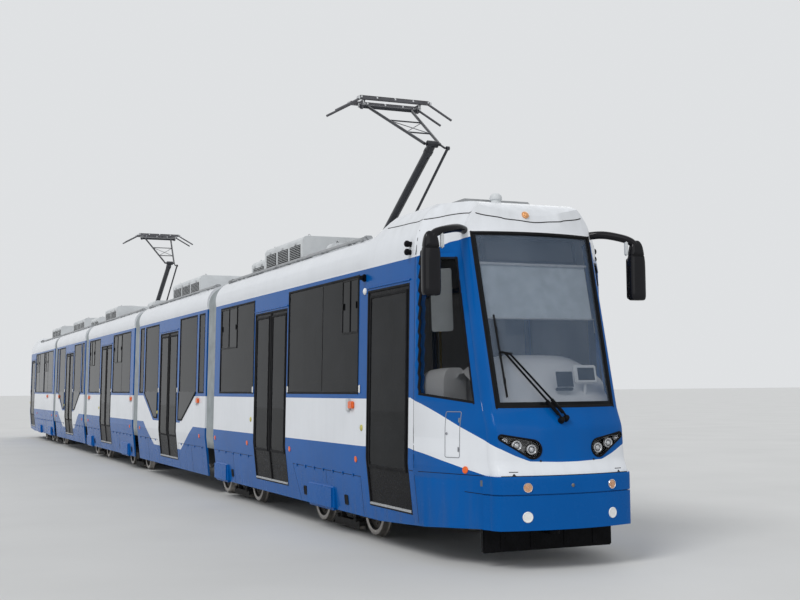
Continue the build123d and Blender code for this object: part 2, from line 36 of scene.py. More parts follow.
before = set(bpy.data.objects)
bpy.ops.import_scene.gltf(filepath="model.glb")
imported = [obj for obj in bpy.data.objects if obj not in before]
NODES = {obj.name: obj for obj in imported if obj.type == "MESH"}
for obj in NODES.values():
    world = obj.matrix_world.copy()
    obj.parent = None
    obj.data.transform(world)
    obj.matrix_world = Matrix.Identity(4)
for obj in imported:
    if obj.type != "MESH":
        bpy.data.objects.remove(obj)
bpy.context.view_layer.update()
NOSE_X = 19.85
CARS = {"a": (0.0, 9.8), "b": (10.4, 16.6), "c": (17.2, 24.0), "d": (24.6, 30.8), "e": (31.4, 39.7)}
LENGTH = 39.7
END_LENGTHS = {"a": 9.8, "e": 8.3}
ROOF_Z = 3.69
SIDES = (-1, 1)
CORNERS = [(end, side) for end in SIDES for side in SIDES]
move = Matrix.Translation


def rotated(angle, axis):
    return Matrix.Rotation(angle, 4, axis)


def own(table, car):
    """The rows of one car in a table, without its letter."""
    return [row[1:] for row in table if row[0] == car]


def at(s):
    """X of a distance back from the nose tip."""
    return NOSE_X - s


# Camera, light and floor

CAMERA_AT = Vector((NOSE_X + 10.418, -6.385, 1.849))
CAMERA_YAW, CAMERA_PITCH, CAMERA_ROLL = radians(23.317), radians(4.181), radians(-0.517)
FOCAL_PX, PICTURE_PX, SENSOR_MM = 1190.1, 800, 36


def camera_axes():
    """The camera's right, up and forward directions."""
    yaw, pitch, roll = CAMERA_YAW, CAMERA_PITCH, CAMERA_ROLL
    ahead = Vector((-cos(yaw) * cos(pitch), sin(yaw) * cos(pitch), sin(pitch)))
    right = ahead.cross(Vector((0, 0, 1))).normalized()
    up = right.cross(ahead)
    return cos(roll) * right + sin(roll) * up, cos(roll) * up - sin(roll) * right, ahead


def add_camera():
    right, up, ahead = camera_axes()
    data = bpy.data.cameras.new("camera")
    data.sensor_width = SENSOR_MM
    data.lens = SENSOR_MM * FOCAL_PX / PICTURE_PX
    data.clip_end = 1000
    camera = bpy.data.objects.new("camera", data)
    bpy.context.collection.objects.link(camera)
    turn = Matrix((right, up, -ahead)).transposed().to_4x4()
    camera.matrix_world = move(CAMERA_AT) @ turn
    bpy.context.scene.camera = camera


def add_lights():
    world = bpy.data.worlds.new("studio")
    bpy.context.scene.world = world
    world.use_nodes = True
    tree = world.node_tree
    tree.nodes.clear()
    sky, pale = tree.nodes.new("ShaderNodeBackground"), tree.nodes.new("ShaderNodeBackground")
    sky.inputs["Color"].default_value = (0.93, 0.96, 1.0, 1)
    sky.inputs["Strength"].default_value = 0.5
    pale.inputs["Color"].default_value = (0.74, 0.755, 0.77, 1)
    pale.inputs["Strength"].default_value = 1.0
    path = tree.nodes.new("ShaderNodeLightPath")
    mix = tree.nodes.new("ShaderNodeMixShader")
    seen = math(tree, "MAXIMUM", path.outputs["Is Camera Ray"], path.outputs["Is Transmission Ray"])
    seen = math(tree, "MAXIMUM", seen, path.outputs["Is Glossy Ray"])
    tree.links.new(seen, mix.inputs[0])
    tree.links.new(sky.outputs[0], mix.inputs[1])
    tree.links.new(pale.outputs[0], mix.inputs[2])
    out = tree.nodes.new("ShaderNodeOutputWorld")
    tree.links.new(mix.outputs[0], out.inputs[0])
    for name, aim, energy, angle in (
        ("key", (-0.35, 0.62, -0.72), 1.5, 25),
        ("fill", (-0.9, 0.1, -0.3), 0.45, 50),
        ("back", (0.5, -0.6, -0.6), 0.4, 50),
    ):
        data = bpy.data.lights.new(name, "SUN")
        data.energy = energy
        data.angle = radians(angle)
        lamp = bpy.data.objects.new(name, data)
        bpy.context.collection.objects.link(lamp)
        lamp.rotation_euler = Vector(aim).to_track_quat("-Z", "Y").to_euler()


# Meshes


def new_object(name, bm, material, smooth=30):
    """An object from a bmesh. Edges sharper than smooth degrees stay sharp."""
    bmesh.ops.recalc_face_normals(bm, faces=bm.faces)
    for face in bm.faces:
        face.smooth = smooth > 0
    for edge in bm.edges:
        if len(edge.link_faces) == 2 and edge.calc_face_angle(0) > radians(smooth):
            edge.smooth = False
    mesh = bpy.data.meshes.new(name)
    bm.to_mesh(mesh)
    bm.free()
    mesh.materials.append(material)
    made = bpy.data.objects.new(name, mesh)
    bpy.context.collection.objects.link(made)
    return made


def place(obj, body, slot=None, *replaced):
    """Fixes a piece to its body, or the car of that letter, and hides the CAD nodes it stands for. The slot is not
    used.
    """
    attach(obj, "car_" + body if body in CARS else body)
    if replaced:
        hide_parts(*replaced)
    return obj


def build(name, body, finish, slot, fill, smooth=30, replaced=()):
    """Makes one piece, whose shapes fill adds to a bmesh, or none where this car has no such shapes."""
    bm = bmesh.new()
    fill(bm)
    if bm.verts:
        return place(new_object(name, bm, FINISHES[finish], smooth), body, slot, *replaced)
    bm.free()


def bake(obj):
    """Applies an object's modifiers to its mesh."""
    graph = bpy.context.evaluated_depsgraph_get()
    mesh = bpy.data.meshes.new_from_object(obj.evaluated_get(graph))
    obj.modifiers.clear()
    old = obj.data
    obj.data = mesh
    bpy.data.meshes.remove(old)


def join(bm, rings, closed=True, looped=False, caps=False):
    """Faces between rings of vertices. closed joins each ring's ends, looped the last ring and the first."""
    for a, b in zip(rings, rings[1:] + (rings[:1] if looped else [])):
        for n in range(len(a) - (not closed)):
            m = (n + 1) % len(a)
            bm.faces.new((a[n], a[m], b[m], b[n]))
    if caps:
        bm.faces.new(rings[0])
        bm.faces.new(rings[-1][::-1])


# Materials


def shader(name, rough, metallic=0.0, coat=0.0, specular=0.5, ior=1.5):
    """A material with a Principled shader and the coordinates of the object at rest."""
    material = bpy.data.materials.new(name)
    material.use_nodes = True
    tree = material.node_tree
    principled = tree.nodes["Principled BSDF"]
    principled.inputs["Roughness"].default_value = rough
    principled.inputs["Metallic"].default_value = metallic
    principled.inputs["Coat Weight"].default_value = coat
    principled.inputs["Coat Roughness"].default_value = 0.06
    principled.inputs["Specular IOR Level"].default_value = specular
    principled.inputs["IOR"].default_value = ior
    coords = tree.nodes.new("ShaderNodeTexCoord")
    return material, tree, principled, coords.outputs["Object"]


def math(tree, operation, a, b=None):
    """A math node. Inputs are sockets or numbers."""
    node = tree.nodes.new("ShaderNodeMath")
    node.operation = operation
    for k, value in enumerate((a, b)):
        if isinstance(value, (int, float)):
            node.inputs[k].default_value = value
        elif value is not None:
            tree.links.new(value, node.inputs[k])
    return node.outputs[0]


def noise(tree, vector, scale, detail=4.0, stretch=(1, 1, 1)):
    """Noise from 0 to 1."""
    if stretch != (1, 1, 1):
        mapping = tree.nodes.new("ShaderNodeMapping")
        mapping.inputs["Scale"].default_value = stretch
        tree.links.new(vector, mapping.inputs["Vector"])
        vector = mapping.outputs[0]
    node = tree.nodes.new("ShaderNodeTexNoise")
    node.inputs["Scale"].default_value = scale
    node.inputs["Detail"].default_value = detail
    tree.links.new(vector, node.inputs["Vector"])
    return node.outputs["Fac"]


def ramp(tree, fac, low, high, start=0.0, end=1.0):
    """Maps low..high to start..end, clamped."""
    node = tree.nodes.new("ShaderNodeMapRange")
    node.inputs["From Min"].default_value = low
    node.inputs["From Max"].default_value = high
    node.inputs["To Min"].default_value = start
    node.inputs["To Max"].default_value = end
    tree.links.new(fac, node.inputs["Value"])
    return node.outputs[0]


def mix(tree, fac, a, b):
    """Mixes two colours, each a socket or three numbers."""
    node = tree.nodes.new("ShaderNodeMix")
    node.data_type = "RGBA"
    if isinstance(fac, (int, float)):
        node.inputs[0].default_value = fac
    else:
        tree.links.new(fac, node.inputs[0])
    for k, value in ((6, a), (7, b)):
        if isinstance(value, tuple):
            node.inputs[k].default_value = (*value, 1)
        else:
            tree.links.new(value, node.inputs[k])
    return node.outputs[2]


def bump(tree, principled, height, strength, distance=0.002):
    node = tree.nodes.new("ShaderNodeBump")
    node.inputs["Strength"].default_value = strength
    node.inputs["Distance"].default_value = distance
    tree.links.new(height, node.inputs["Height"])
    tree.links.new(node.outputs[0], principled.inputs["Normal"])


def split_xyz(tree, vector):
    node = tree.nodes.new("ShaderNodeSeparateXYZ")
    tree.links.new(vector, node.inputs[0])
    return node.outputs


def shade(colour, factor):
    return tuple(min(1.0, c * factor) for c in colour)


def curve(tree, value, points):
    """A piecewise linear function of a socket, from (input, output) pairs, as a float curve over its range."""
    xs, ys = [p[0] for p in points], [p[1] for p in points]
    x0, x1, y0, y1 = min(xs), max(xs), min(ys), max(ys) + 1e-6
    node = tree.nodes.new("ShaderNodeFloatCurve")
    line = node.mapping.curves[0]
    while len(line.points) < len(points):
        line.points.new(0.5, 0.5)
    for point, (x, y) in zip(line.points, sorted(points)):
        point.location = ((x - x0) / (x1 - x0), (y - y0) / (y1 - y0))
        point.handle_type = "VECTOR"
    node.mapping.update()
    tree.links.new(ramp(tree, value, x0, x1), node.inputs["Value"])
    return ramp(tree, node.outputs[0], 0.0, 1.0, y0, y1)


def plain(name, colour, rough, metallic=0.0, coat=0.0, vary=0.12, scale=6.0, grain=0.15, grain_scale=160.0,
          specular=0.5, ior=1.5):
    """A finish with slow colour variation, finer roughness variation and a small grain."""
    material, tree, principled, coords = shader(name, rough, metallic, coat, specular, ior)
    slow = noise(tree, coords, scale)
    shown = mix(tree, ramp(tree, slow, 0.3, 0.7), shade(colour, 1 - vary), shade(colour, 1 + vary))
    tree.links.new(shown, principled.inputs["Base Color"])
    fine = noise(tree, coords, grain_scale, 6.0)
    rough_now = ramp(tree, noise(tree, coords, scale * 5), 0.3, 0.7, max(0.02, rough - 0.06),
                     min(1.0, rough + 0.08))
    tree.links.new(rough_now, principled.inputs["Roughness"])
    bump(tree, principled, fine, grain)
    return material


BLUE = (0.0005, 0.092, 0.345)
WHITE = (0.75, 0.77, 0.80)


def livery(name, upper, lower, roof=((0, 3.265), (50, 3.265)), along_nose=0, black_over=None):
    """Blue enamel with a white band and a white roof, whose edges' heights depend on the position along the side.

    along_nose is 1 where the position runs round the nose, -1 round the tail, and 0 on a straight car. Above
    black_over, where it is given, all is black."""
    material, tree, principled, coords = shader(name, 0.2, 0.0, 0.05, 0.3, 1.22)
    x, y, z = split_xyz(tree, coords)
    place_s = math(tree, "SUBTRACT", NOSE_X, x)
    if along_nose < 0:
        place_s = math(tree, "ADD", NOSE_X, x)
    if along_nose:
        place_s = math(tree, "ADD", place_s, math(tree, "ABSOLUTE", y))
    top = curve(tree, place_s, upper)
    low = curve(tree, place_s, lower)
    under_top = math(tree, "LESS_THAN", z, top)
    over_low = math(tree, "GREATER_THAN", z, low)
    band = math(tree, "MULTIPLY", under_top, over_low)
    over = math(tree, "GREATER_THAN", z, curve(tree, place_s, roof))
    white = math(tree, "MAXIMUM", band, over)
    slow = noise(tree, coords, 1.3, 3.0)
    blue = mix(tree, ramp(tree, slow, 0.3, 0.7), shade(BLUE, 0.93), shade(BLUE, 1.06))
    clean = mix(tree, ramp(tree, slow, 0.3, 0.7), shade(WHITE, 0.97), shade(WHITE, 1.02))
    base = mix(tree, white, blue, clean)
    streaks = noise(tree, coords, 9.0, 5.0, (1, 1, 0.12))
    near_rail = ramp(tree, z, 0.25, 1.1, 0.22, 0.03)
    dirt = math(tree, "MULTIPLY", ramp(tree, streaks, 0.42, 0.72), near_rail)
    base = mix(tree, dirt, base, (0.10, 0.10, 0.10))
    on_roof = math(tree, "MULTIPLY", ramp(tree, z, 3.5, 3.68), ramp(tree, streaks, 0.3, 0.8, 0.05, 0.25))
    base = mix(tree, on_roof, base, (0.4, 0.4, 0.39))
    if black_over:
        base = mix(tree, math(tree, "GREATER_THAN", z, black_over), base, (0.008, 0.008, 0.009))
    tree.links.new(base, principled.inputs["Base Color"])
    gloss = ramp(tree, noise(tree, coords, 14.0), 0.3, 0.7, 0.14, 0.24)
    rough = math(tree, "ADD", gloss, math(tree, "MULTIPLY", dirt, 0.7))
    tree.links.new(rough, principled.inputs["Roughness"])
    waves = noise(tree, coords, 2.2, 2.0)
    bump(tree, principled, waves, 0.25, 0.003)
    return material


SCREEN_Z, SCREEN_TOP_Z = 1.633, 3.5
SCREEN_HALF, SCREEN_TOP_HALF = 0.694, 0.725


def glass():
    """Tinted window glass, clearer round the cab, with the black border printed on the end panes. The pale blue
    colour of the clear panes is a painted sky reflection.
    """
    material, tree, principled, coords = shader("tinted_glass", 0.03, specular=0.4, ior=1.18)
    x, y, z = split_xyz(tree, coords)
    behind = math(tree, "SUBTRACT", NOSE_X, math(tree, "ABSOLUTE", x))
    across = math(tree, "ABSOLUTE", y)
    cab = math(tree, "LESS_THAN", behind, 1.3)
    front = math(tree, "MULTIPLY", cab, math(tree, "LESS_THAN", across, 0.76))
    dust = ramp(tree, noise(tree, coords, 3.0, 4.0), 0.35, 0.75)
    dark = mix(tree, dust, (0.004, 0.005, 0.006), (0.011, 0.012, 0.014))
    # Painted sky reflection: the pale blue colour of the clear panes, varied by the dust.
    veil = mix(tree, dust, (0.135, 0.180, 0.250), (0.175, 0.225, 0.300))
    edge = ramp(tree, z, SCREEN_Z, SCREEN_TOP_Z, SCREEN_HALF, SCREEN_TOP_HALF)
    border = math(tree, "GREATER_THAN", across, math(tree, "SUBTRACT", edge, 0.045))
    border = math(tree, "MAXIMUM", border, math(tree, "LESS_THAN", z, SCREEN_Z + 0.05))
    border = math(tree, "MAXIMUM", border, math(tree, "GREATER_THAN", z, SCREEN_TOP_Z - 0.05))
    border = math(tree, "MULTIPLY", border, front)
    clear = math(tree, "SUBTRACT", front, border)
    tree.links.new(mix(tree, clear, dark, veil), principled.inputs["Base Color"])
    seen = math(tree, "SUBTRACT", 0.84, math(tree, "MULTIPLY", cab, 0.52))
    seen = math(tree, "SUBTRACT", seen, math(tree, "MULTIPLY", front, 0.04))
    tree.links.new(math(tree, "MAXIMUM", seen, border), principled.inputs["Alpha"])
    tree.links.new(ramp(tree, dust, 0, 1, 0.02, 0.07), principled.inputs["Roughness"])
    return material


def cover_glass():
    """Clear cover of a lamp cluster."""
    material, tree, principled, coords = shader("cover_glass", 0.03, 0.0, 0.5)
    principled.inputs["Base Color"].default_value = (0.02, 0.022, 0.025, 1)
    veil = ramp(tree, noise(tree, coords, 30.0), 0.3, 0.8, 0.05, 0.12)
    tree.links.new(veil, principled.inputs["Alpha"])
    return material


def clear_lens():
    """Ribbed clear glass over a lamp."""
    material, tree, principled, coords = shader("clear_lens", 0.04, 0.0, 0.3)
    principled.inputs["Base Color"].default_value = (0.55, 0.57, 0.60, 1)
    ribs = noise(tree, coords, 60.0, 2.0, (1, 1, 0.15))
    tree.links.new(ramp(tree, ribs, 0.3, 0.7, 0.10, 0.30), principled.inputs["Alpha"])
    bump(tree, principled, ribs, 0.4)
    return material


FINISHES = {
    "mirror": plain("mirror_paint", (0.007, 0.007, 0.009), 0.16, coat=0.12, vary=0.2, scale=3.0, grain=0.02,
                    specular=0.35, ior=1.3),
    "dark_pane": plain("dark_pane", (0.009, 0.010, 0.011), 0.05, vary=0.4, scale=3.0, grain=0.01, specular=0.4,
                       ior=1.18),
    "bumper": plain("bumper_enamel", BLUE, 0.24, coat=0.05, vary=0.05, scale=1.3, grain=0.02, specular=0.3,
                    ior=1.22),
    "black": plain("black_paint", (0.007, 0.007, 0.008), 0.28, vary=0.3, grain=0.03, specular=0.22, ior=1.2),
    "rubber": plain("black_rubber", (0.009, 0.009, 0.010), 0.6, vary=0.25, grain=0.2, specular=0.3, ior=1.25),
    "floor": plain("floor_covering", (0.13, 0.14, 0.15), 0.7, vary=0.2, grain=0.4, grain_scale=400),
    "steel": plain("wheel_steel", (0.24, 0.22, 0.2), 0.42, 0.85, vary=0.3, scale=12),
    "bogie": plain("bogie_paint", (0.022, 0.021, 0.020), 0.7, vary=0.4, scale=9, grain=0.5, grain_scale=90,
                   specular=0.3),
    "arm": plain("collector_paint", (0.02, 0.022, 0.028), 0.38, 0.3, coat=0.2, vary=0.3),
    "strip": plain("contact_steel", (0.11, 0.11, 0.12), 0.5, 0.7, vary=0.3),
    "roof_box": plain("roof_box_paint", (0.60, 0.62, 0.63), 0.5, vary=0.12, scale=3, grain=0.2),
    "bellows": plain("bellows_cloth", (0.34, 0.37, 0.38), 0.85, vary=0.12, scale=5, grain=0.6, grain_scale=500),
    "aluminium": plain("aluminium", (0.55, 0.56, 0.57), 0.35, 0.9, vary=0.08, scale=20, grain=0.1, grain_scale=300),
    "pole": plain("pole_enamel", (0.62, 0.42, 0.04), 0.3, coat=0.4, vary=0.08),
    "button": plain("button_yellow", (0.5, 0.45, 0.1), 0.35, vary=0.1),
    "seam": plain("seam_line", (0.22, 0.23, 0.25), 0.5, vary=0.1),
    "orange": plain("orange_lens", (0.80, 0.125, 0.006), 0.2, coat=0.15, vary=0.08, scale=40),
    "white_lens": plain("white_lens", (0.78, 0.78, 0.76), 0.18, coat=0.6, vary=0.05, scale=40),
    "red_lens": plain("red_lens", (0.42, 0.006, 0.006), 0.1, coat=0.8, vary=0.1, scale=40),
    "clear_lens": clear_lens(),
    "visor": plain("visor_plastic", (0.50, 0.54, 0.56), 0.4, vary=0.08, scale=6, grain=0.05),
    "silver": plain("lamp_silver", (0.66, 0.67, 0.69), 0.22, 0.35, vary=0.08, scale=60, grain=0.03),
    "chrome": plain("chrome", (0.72, 0.73, 0.75), 0.08, 1.0, vary=0.05, scale=30, grain=0.02),
    "dash": plain("desk_moulding", (0.80, 0.81, 0.82), 0.5, vary=0.04, scale=4, grain=0.25, grain_scale=700),
    "display": plain("display_panel", (0.012, 0.012, 0.013), 0.45, vary=0.3, scale=300, grain=0.5, grain_scale=260),
    "blind": plain("blind_cloth", (0.52, 0.58, 0.62), 0.85, vary=0.1, scale=8, grain=0.4, grain_scale=900),
    "fabric": plain("seat_fabric", (0.24, 0.035, 0.03), 0.9, vary=0.35, scale=60, grain=0.7, grain_scale=800),
    "cover_glass": cover_glass(),
    "conduit": plain("conduit_steel", (0.34, 0.35, 0.36), 0.45, 0.6, vary=0.15, scale=8, grain=0.2),
    "insulator": plain("insulator_glaze", (0.20, 0.045, 0.028), 0.16, coat=0.5, vary=0.12, scale=30, grain=0.03),
    "carbon": plain("carbon_strip", (0.018, 0.018, 0.019), 0.42, vary=0.3, scale=40, grain=0.4, grain_scale=400),
    "tyre": plain("rolled_steel", (0.30, 0.28, 0.26), 0.36, 0.9, vary=0.22, scale=14, grain=0.12, grain_scale=220),
    "wheel_web": plain("wheel_paint", (0.055, 0.048, 0.042), 0.72, 0.2, vary=0.4, scale=10, grain=0.45,
                       grain_scale=120),
    "amber": plain("amber_lens", (0.72, 0.33, 0.12), 0.08, 0.5, coat=0.6, vary=0.15, scale=60),
    "lamp_black": plain("lamp_black", (0.008, 0.008, 0.009), 0.12, coat=0.8, vary=0.2),
}
# The edges of the white areas: position, height. On the nose and tail the position is S + |Y|.
LEVEL = ([(0, 1.715), (50, 1.715)], [(0, 1.155), (50, 1.155)])
NOSE_TOP = [(0, 1.077), (0.205, 1.077), (0.569, 1.09), (0.756, 1.148), (0.946, 1.22), (1.277, 1.325),
            (1.629, 1.432), (1.995, 1.557), (2.364, 1.677), (2.583, 1.735), (2.9, 1.715), (12, 1.715)]
NOSE_LOW = [(0, 0.946), (1.149, 0.946), (1.63, 1.022), (1.996, 1.086), (2.275, 1.139), (2.608, 1.193),
            (4, 1.155), (12, 1.155)]
NOSE_ROOF = [(0, 3.433), (1.53, 3.433), (1.872, 3.393), (2.031, 3.35), (2.193, 3.301), (2.407, 3.255), (12, 3.265)]
DIP_TOP = [(10.4, 1.715), (11.32, 1.715), (12.4, 1.2), (14.9, 1.2), (15.98, 1.715), (16.6, 1.715)]
DIP_LOW = [(10.4, 1.155), (11.3, 1.155), (12.4, 0.69), (14.9, 0.69), (15.9, 1.155), (16.6, 1.155)]
SECOND_DIP = 14.2
SHELLS = {
    "a": livery("livery_a", NOSE_TOP, NOSE_LOW, NOSE_ROOF, 1),
    "b": livery("livery_b", DIP_TOP, DIP_LOW),
    "c": livery("livery_c", *LEVEL),
    "d": livery("livery_d", [(s + SECOND_DIP, z) for s, z in DIP_TOP], [(s + SECOND_DIP, z) for s, z in DIP_LOW]),
    "e": livery("livery_e", NOSE_TOP, NOSE_LOW, NOSE_ROOF, -1),
}
GLASS = glass()
REAR_BUMPER = livery("rear_bumper_enamel", [(0, 0.1), (50, 0.1)], [(0, 0), (50, 0)], [(0, 9), (50, 9)], 0, 0.98)


# Materials of the CAD nodes, for the first part of a name that fits
NODE_FINISHES = {
    **{"shell_" + car: SHELLS[car] for car in CARS}, "bumper_rear": REAR_BUMPER, "glazing": GLASS,
    **{part: FINISHES[finish] for part, finish in (
        ("bumper", "bumper"), ("interior", "floor"), ("roof_gear", "roof_box"), ("bellows", "bellows"), ("_wheels_",
                                                                                                         "steel"),
        ("bogie", "bogie"), ("_head", "strip"), ("collector", "arm"), ("headlamps", "lamp_black"))},
}


def dress_nodes():
    """Gives every CAD node its material, black where no other is named."""
    for name, node in NODES.items():
        node.data.materials.clear()
        node.data.materials.append(next((finish for part, finish in NODE_FINISHES.items() if part in name),
                                        FINISHES["black"]))


def add_floor():
    """The studio's floor, which is not part of the tram."""
    bm = bmesh.new()
    bmesh.ops.create_grid(bm, x_segments=1, y_segments=1, size=400)
    material, tree, principled, coords = shader("studio_floor", 0.9)
    slow = noise(tree, coords, 0.4)
    pale = mix(tree, ramp(tree, slow, 0.3, 0.7), (0.60, 0.60, 0.59), (0.64, 0.64, 0.63))
    tree.links.new(pale, principled.inputs["Base Color"])
    new_object("studio_floor", bm, material, 0)


# Bellows

CANT_Z = 3.275
SECTION = [(1.13, 0.315), (1.2, 1.025), (1.15, CANT_Z)]
SHOULDER = (1.08, 3.575)
ROOF_HALF = 0.87


def side_half(z):
    """Half-width of the body's straight side at a height."""
    for (y0, z0), (y1, z1) in zip(SECTION, SECTION[1:]):
        if z <= z1:
            return y0 + (y1 - y0) * (z - z0) / (z1 - z0)
    return SECTION[-1][0]


def arch(a, b, c, steps):
    """Points on the circle through three points, from a to c."""
    (ax, ay), (bx, by), (cx, cy) = a, b, c
    d = 2 * (ax * (by - cy) + bx * (cy - ay) + cx * (ay - by))
    ux = ((ax * ax + ay * ay) * (by - cy) + (bx * bx + by * by) * (cy - ay) + (cx * cx + cy * cy) * (ay - by)) / d
    uy = ((ax * ax + ay * ay) * (cx - bx) + (bx * bx + by * by) * (ax - cx) + (cx * cx + cy * cy) * (bx - ax)) / d
    radius = hypot(ax - ux, ay - uy)
    start, end = atan2(ay - uy, ax - ux), atan2(cy - uy, cx - ux)
    return [(ux + radius * cos(start + (end - start) * k / steps),
             uy + radius * sin(start + (end - start) * k / steps)) for k in range(steps + 1)]


def half_section(inset, bottom, steps=8):
    """The right half of a car's outline as (y, z), from the bottom up to the roof's middle."""
    heights = [bottom + (CANT_Z - bottom) * k / 12 for k in range(13)]
    points = [(side_half(z) - inset, z) for z in heights]
    roof = (ROOF_HALF - inset, ROOF_Z - inset)
    points += arch(points[-1], (SHOULDER[0] - inset, SHOULDER[1] - inset), roof, steps)[1:]
    return points + [(roof[0] * (1 - k / 4), roof[1]) for k in range(1, 5)]


def add_bellows(front_car, rear_car):
    """Folded cloth round an articulation: rows of folds on a double skin, open below."""
    s0, s1 = CARS[front_car][1], CARS[rear_car][0]
    folds, per_fold = 14, 6
    rows = folds * per_fold
    bm = bmesh.new()
    rings = []
    for k in range(rows + 1):
        phase = k / per_fold
        wave = 0.5 - 0.5 * cos(2 * pi * phase)
        inset = 0.030 + 0.052 * wave ** 0.8
        right = half_section(inset, 0.81)
        ring = right + [(-y, z) for y, z in reversed(right[:-1])]
        x = at(s0 + (s1 - s0) * k / rows)
        rings.append([bm.verts.new((x, y, z)) for y, z in ring])
    join(bm, rings, closed=False)
    piece = new_object(f"bellows_{front_car}{rear_car}_cloth", bm, FINISHES["bellows"], 80)
    solid = piece.modifiers.new("skin", "SOLIDIFY")
    solid.thickness = 0.006
    solid.offset = -1
    bake(piece)
    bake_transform(piece)
    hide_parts("bellows_" + front_car)


# Shapes


def matrix_at(point, normal, up=(0, 0, 1)):
    """A frame at a point whose Z is the normal and whose Y is as near to up as it can be."""
    z = Vector(normal).normalized()
    x = Vector(up).cross(z)
    x = x.normalized() if x.length > 1e-4 else Vector((1, 0, 0))
    y = z.cross(x)
    return move(point) @ Matrix((x, y, z)).transposed().to_4x4()


def add_box(bm, matrix, size, bevel=0.01, segments=2):
    """A box with rounded edges, centred on the matrix."""
    made = bmesh.ops.create_cube(bm, size=1)["verts"]
    for vert in made:
        vert.co = Vector([c * d for c, d in zip(vert.co, size)])
    edges = {edge for vert in made for edge in vert.link_edges}
    rounded = bmesh.ops.bevel(bm, geom=list(edges), offset=min(bevel, 0.45 * min(size)), segments=segments,
                              affect="EDGES")
    verts = {vert for face in rounded["faces"] for vert in face.verts} | {vert for vert in made if vert.is_valid}
    for vert in verts:
        vert.co = matrix @ vert.co


def add_lathe(bm, matrix, profile, segments=24):
    """Turns a profile of (radius, height) round the matrix's Z."""
    rings = []
    for radius, height in profile:
        ring = []
        for k in range(segments if radius > 1e-5 else 1):
            angle = 2 * pi * k / segments
            ring.append(bm.verts.new(matrix @ Vector((radius * cos(angle), radius * sin(angle), height))))
        rings.append(ring)
    for a, b in zip(rings, rings[1:]):
        for k in range(segments):
            quad = [a[k % len(a)], a[(k + 1) % len(a)], b[(k + 1) % len(b)], b[k % len(b)]]
            corners = list(dict.fromkeys(quad))
            if len(corners) > 2:
                bm.faces.new(corners)


def smooth_path(points, steps=6):
    """More points on a curve through the given ones."""
    points = [Vector(p) for p in points]
    ends = [2 * points[0] - points[1], *points, 2 * points[-1] - points[-2]]
    made = []
    for a, b, c, d in zip(ends, ends[1:], ends[2:], ends[3:]):
        for k in range(steps):
            t = k / steps
            bend = (2 * a - 5 * b + 4 * c - d) * t * t + (3 * b - a - 3 * c + d) * t ** 3
            made.append(0.5 * (2 * b + (c - a) * t + bend))
    return made + [points[-1]]


def add_pipe(bm, points, radius, segments=10, closed=False):
    """A round bar along points."""
    points = [Vector(p) for p in points]
    side = None
    rings = []
    for k, point in enumerate(points):
        before = points[k - 1] if k or closed else point
        after = points[(k + 1) % len(points)] if k < len(points) - 1 or closed else point
        way = (after - before).normalized()
        if side is None:
            side = way.cross(Vector((0, 0, 1)) if abs(way.z) < 0.9 else Vector((0, 1, 0)))
        side = (side - way * side.dot(way)).normalized()
        other = way.cross(side)
        ring = []
        for n in range(segments):
            angle = 2 * pi * n / segments
            ring.append(bm.verts.new(point + radius * (cos(angle) * side + sin(angle) * other)))
        rings.append(ring)
    join(bm, rings, looped=closed, caps=not closed)


def add_ribbon(bm, path, width, height, closed=True, depth=0.004):
    """A strip with a rounded back that lies along a path of (point, normal) on a surface."""
    count = len(path)
    rings = []
    for k, (point, normal) in enumerate(path):
        before = path[k - 1][0] if k or closed else point
        after = path[(k + 1) % count][0] if k < count - 1 or closed else point
        into, out = (point - before), (after - point)
        into = into.normalized() if into.length > 1e-6 else out.normalized()
        out = out.normalized() if out.length > 1e-6 else into
        way = (into + out).normalized()
        side = normal.cross(way).normalized()
        miter = 1 / max(0.5, side.dot(normal.cross(into).normalized()))
        half = width / 2
        outline = [(-half, -depth), (-half, height * 0.55), (-half * 0.6, height), (half * 0.6, height),
                   (half, height * 0.55), (half, -depth)]
        rings.append([bm.verts.new(point + side * y * miter + normal * h) for y, h in outline])
    join(bm, rings, closed=False, looped=closed, caps=not closed)


# Doorways on the right side: car, front S, rear S, leaves
DOORS = [("a", 1.45, 2.66, 1), ("a", 5.77, 7.35, 2), ("b", 12.7, 14.3, 2), ("c", 20.15, 21.75, 2),
         ("d", 26.9, 28.5, 2), ("e", 37.04, 38.25, 1)]
DOOR_Z, DOOR_TOP_Z = 0.485, 2.975
LEAF_GAP, LEAF_FRAME = 0.012, 0.07

# Lamps of a cluster, and the round ends of its outline: Y, height, radius
LAMPS = [(0.394, 1.208, 0.046), (0.548, 1.250, 0.046), (0.667, 1.297, 0.026)]
LAMP_HULL = [(0.390, 1.210, 0.100), (0.700, 1.330, 0.035)]
BUMPER_LAMP = (0.4925, 0.836, 0.045)
BUMPER_DISC = (0.497, 0.544, 0.055)


def hull_outline(side, shrink=0.0, steps=12):
    """The lamp cluster's outline as (Y, height), wide at its inner end."""
    (y0, z0, r0), (y1, z1, r1) = LAMP_HULL
    way = atan2(z1 - z0, y1 - y0)
    spread_angle = acos((r0 - r1) / hypot(y1 - y0, z1 - z0))
    made = []
    for y, z, radius, start, end in ((y1, z1, r1, way - spread_angle, way + spread_angle),
                                     (y0, z0, r0, way + spread_angle, way + 2 * pi - spread_angle)):
        for k in range(steps + 1):
            angle = start + (end - start) * k / steps
            made.append((side * (y + (radius - shrink) * cos(angle)), z + (radius - shrink) * sin(angle)))
    return made


# Bodywork of the two end cars, which stands for their plainer CAD nodes

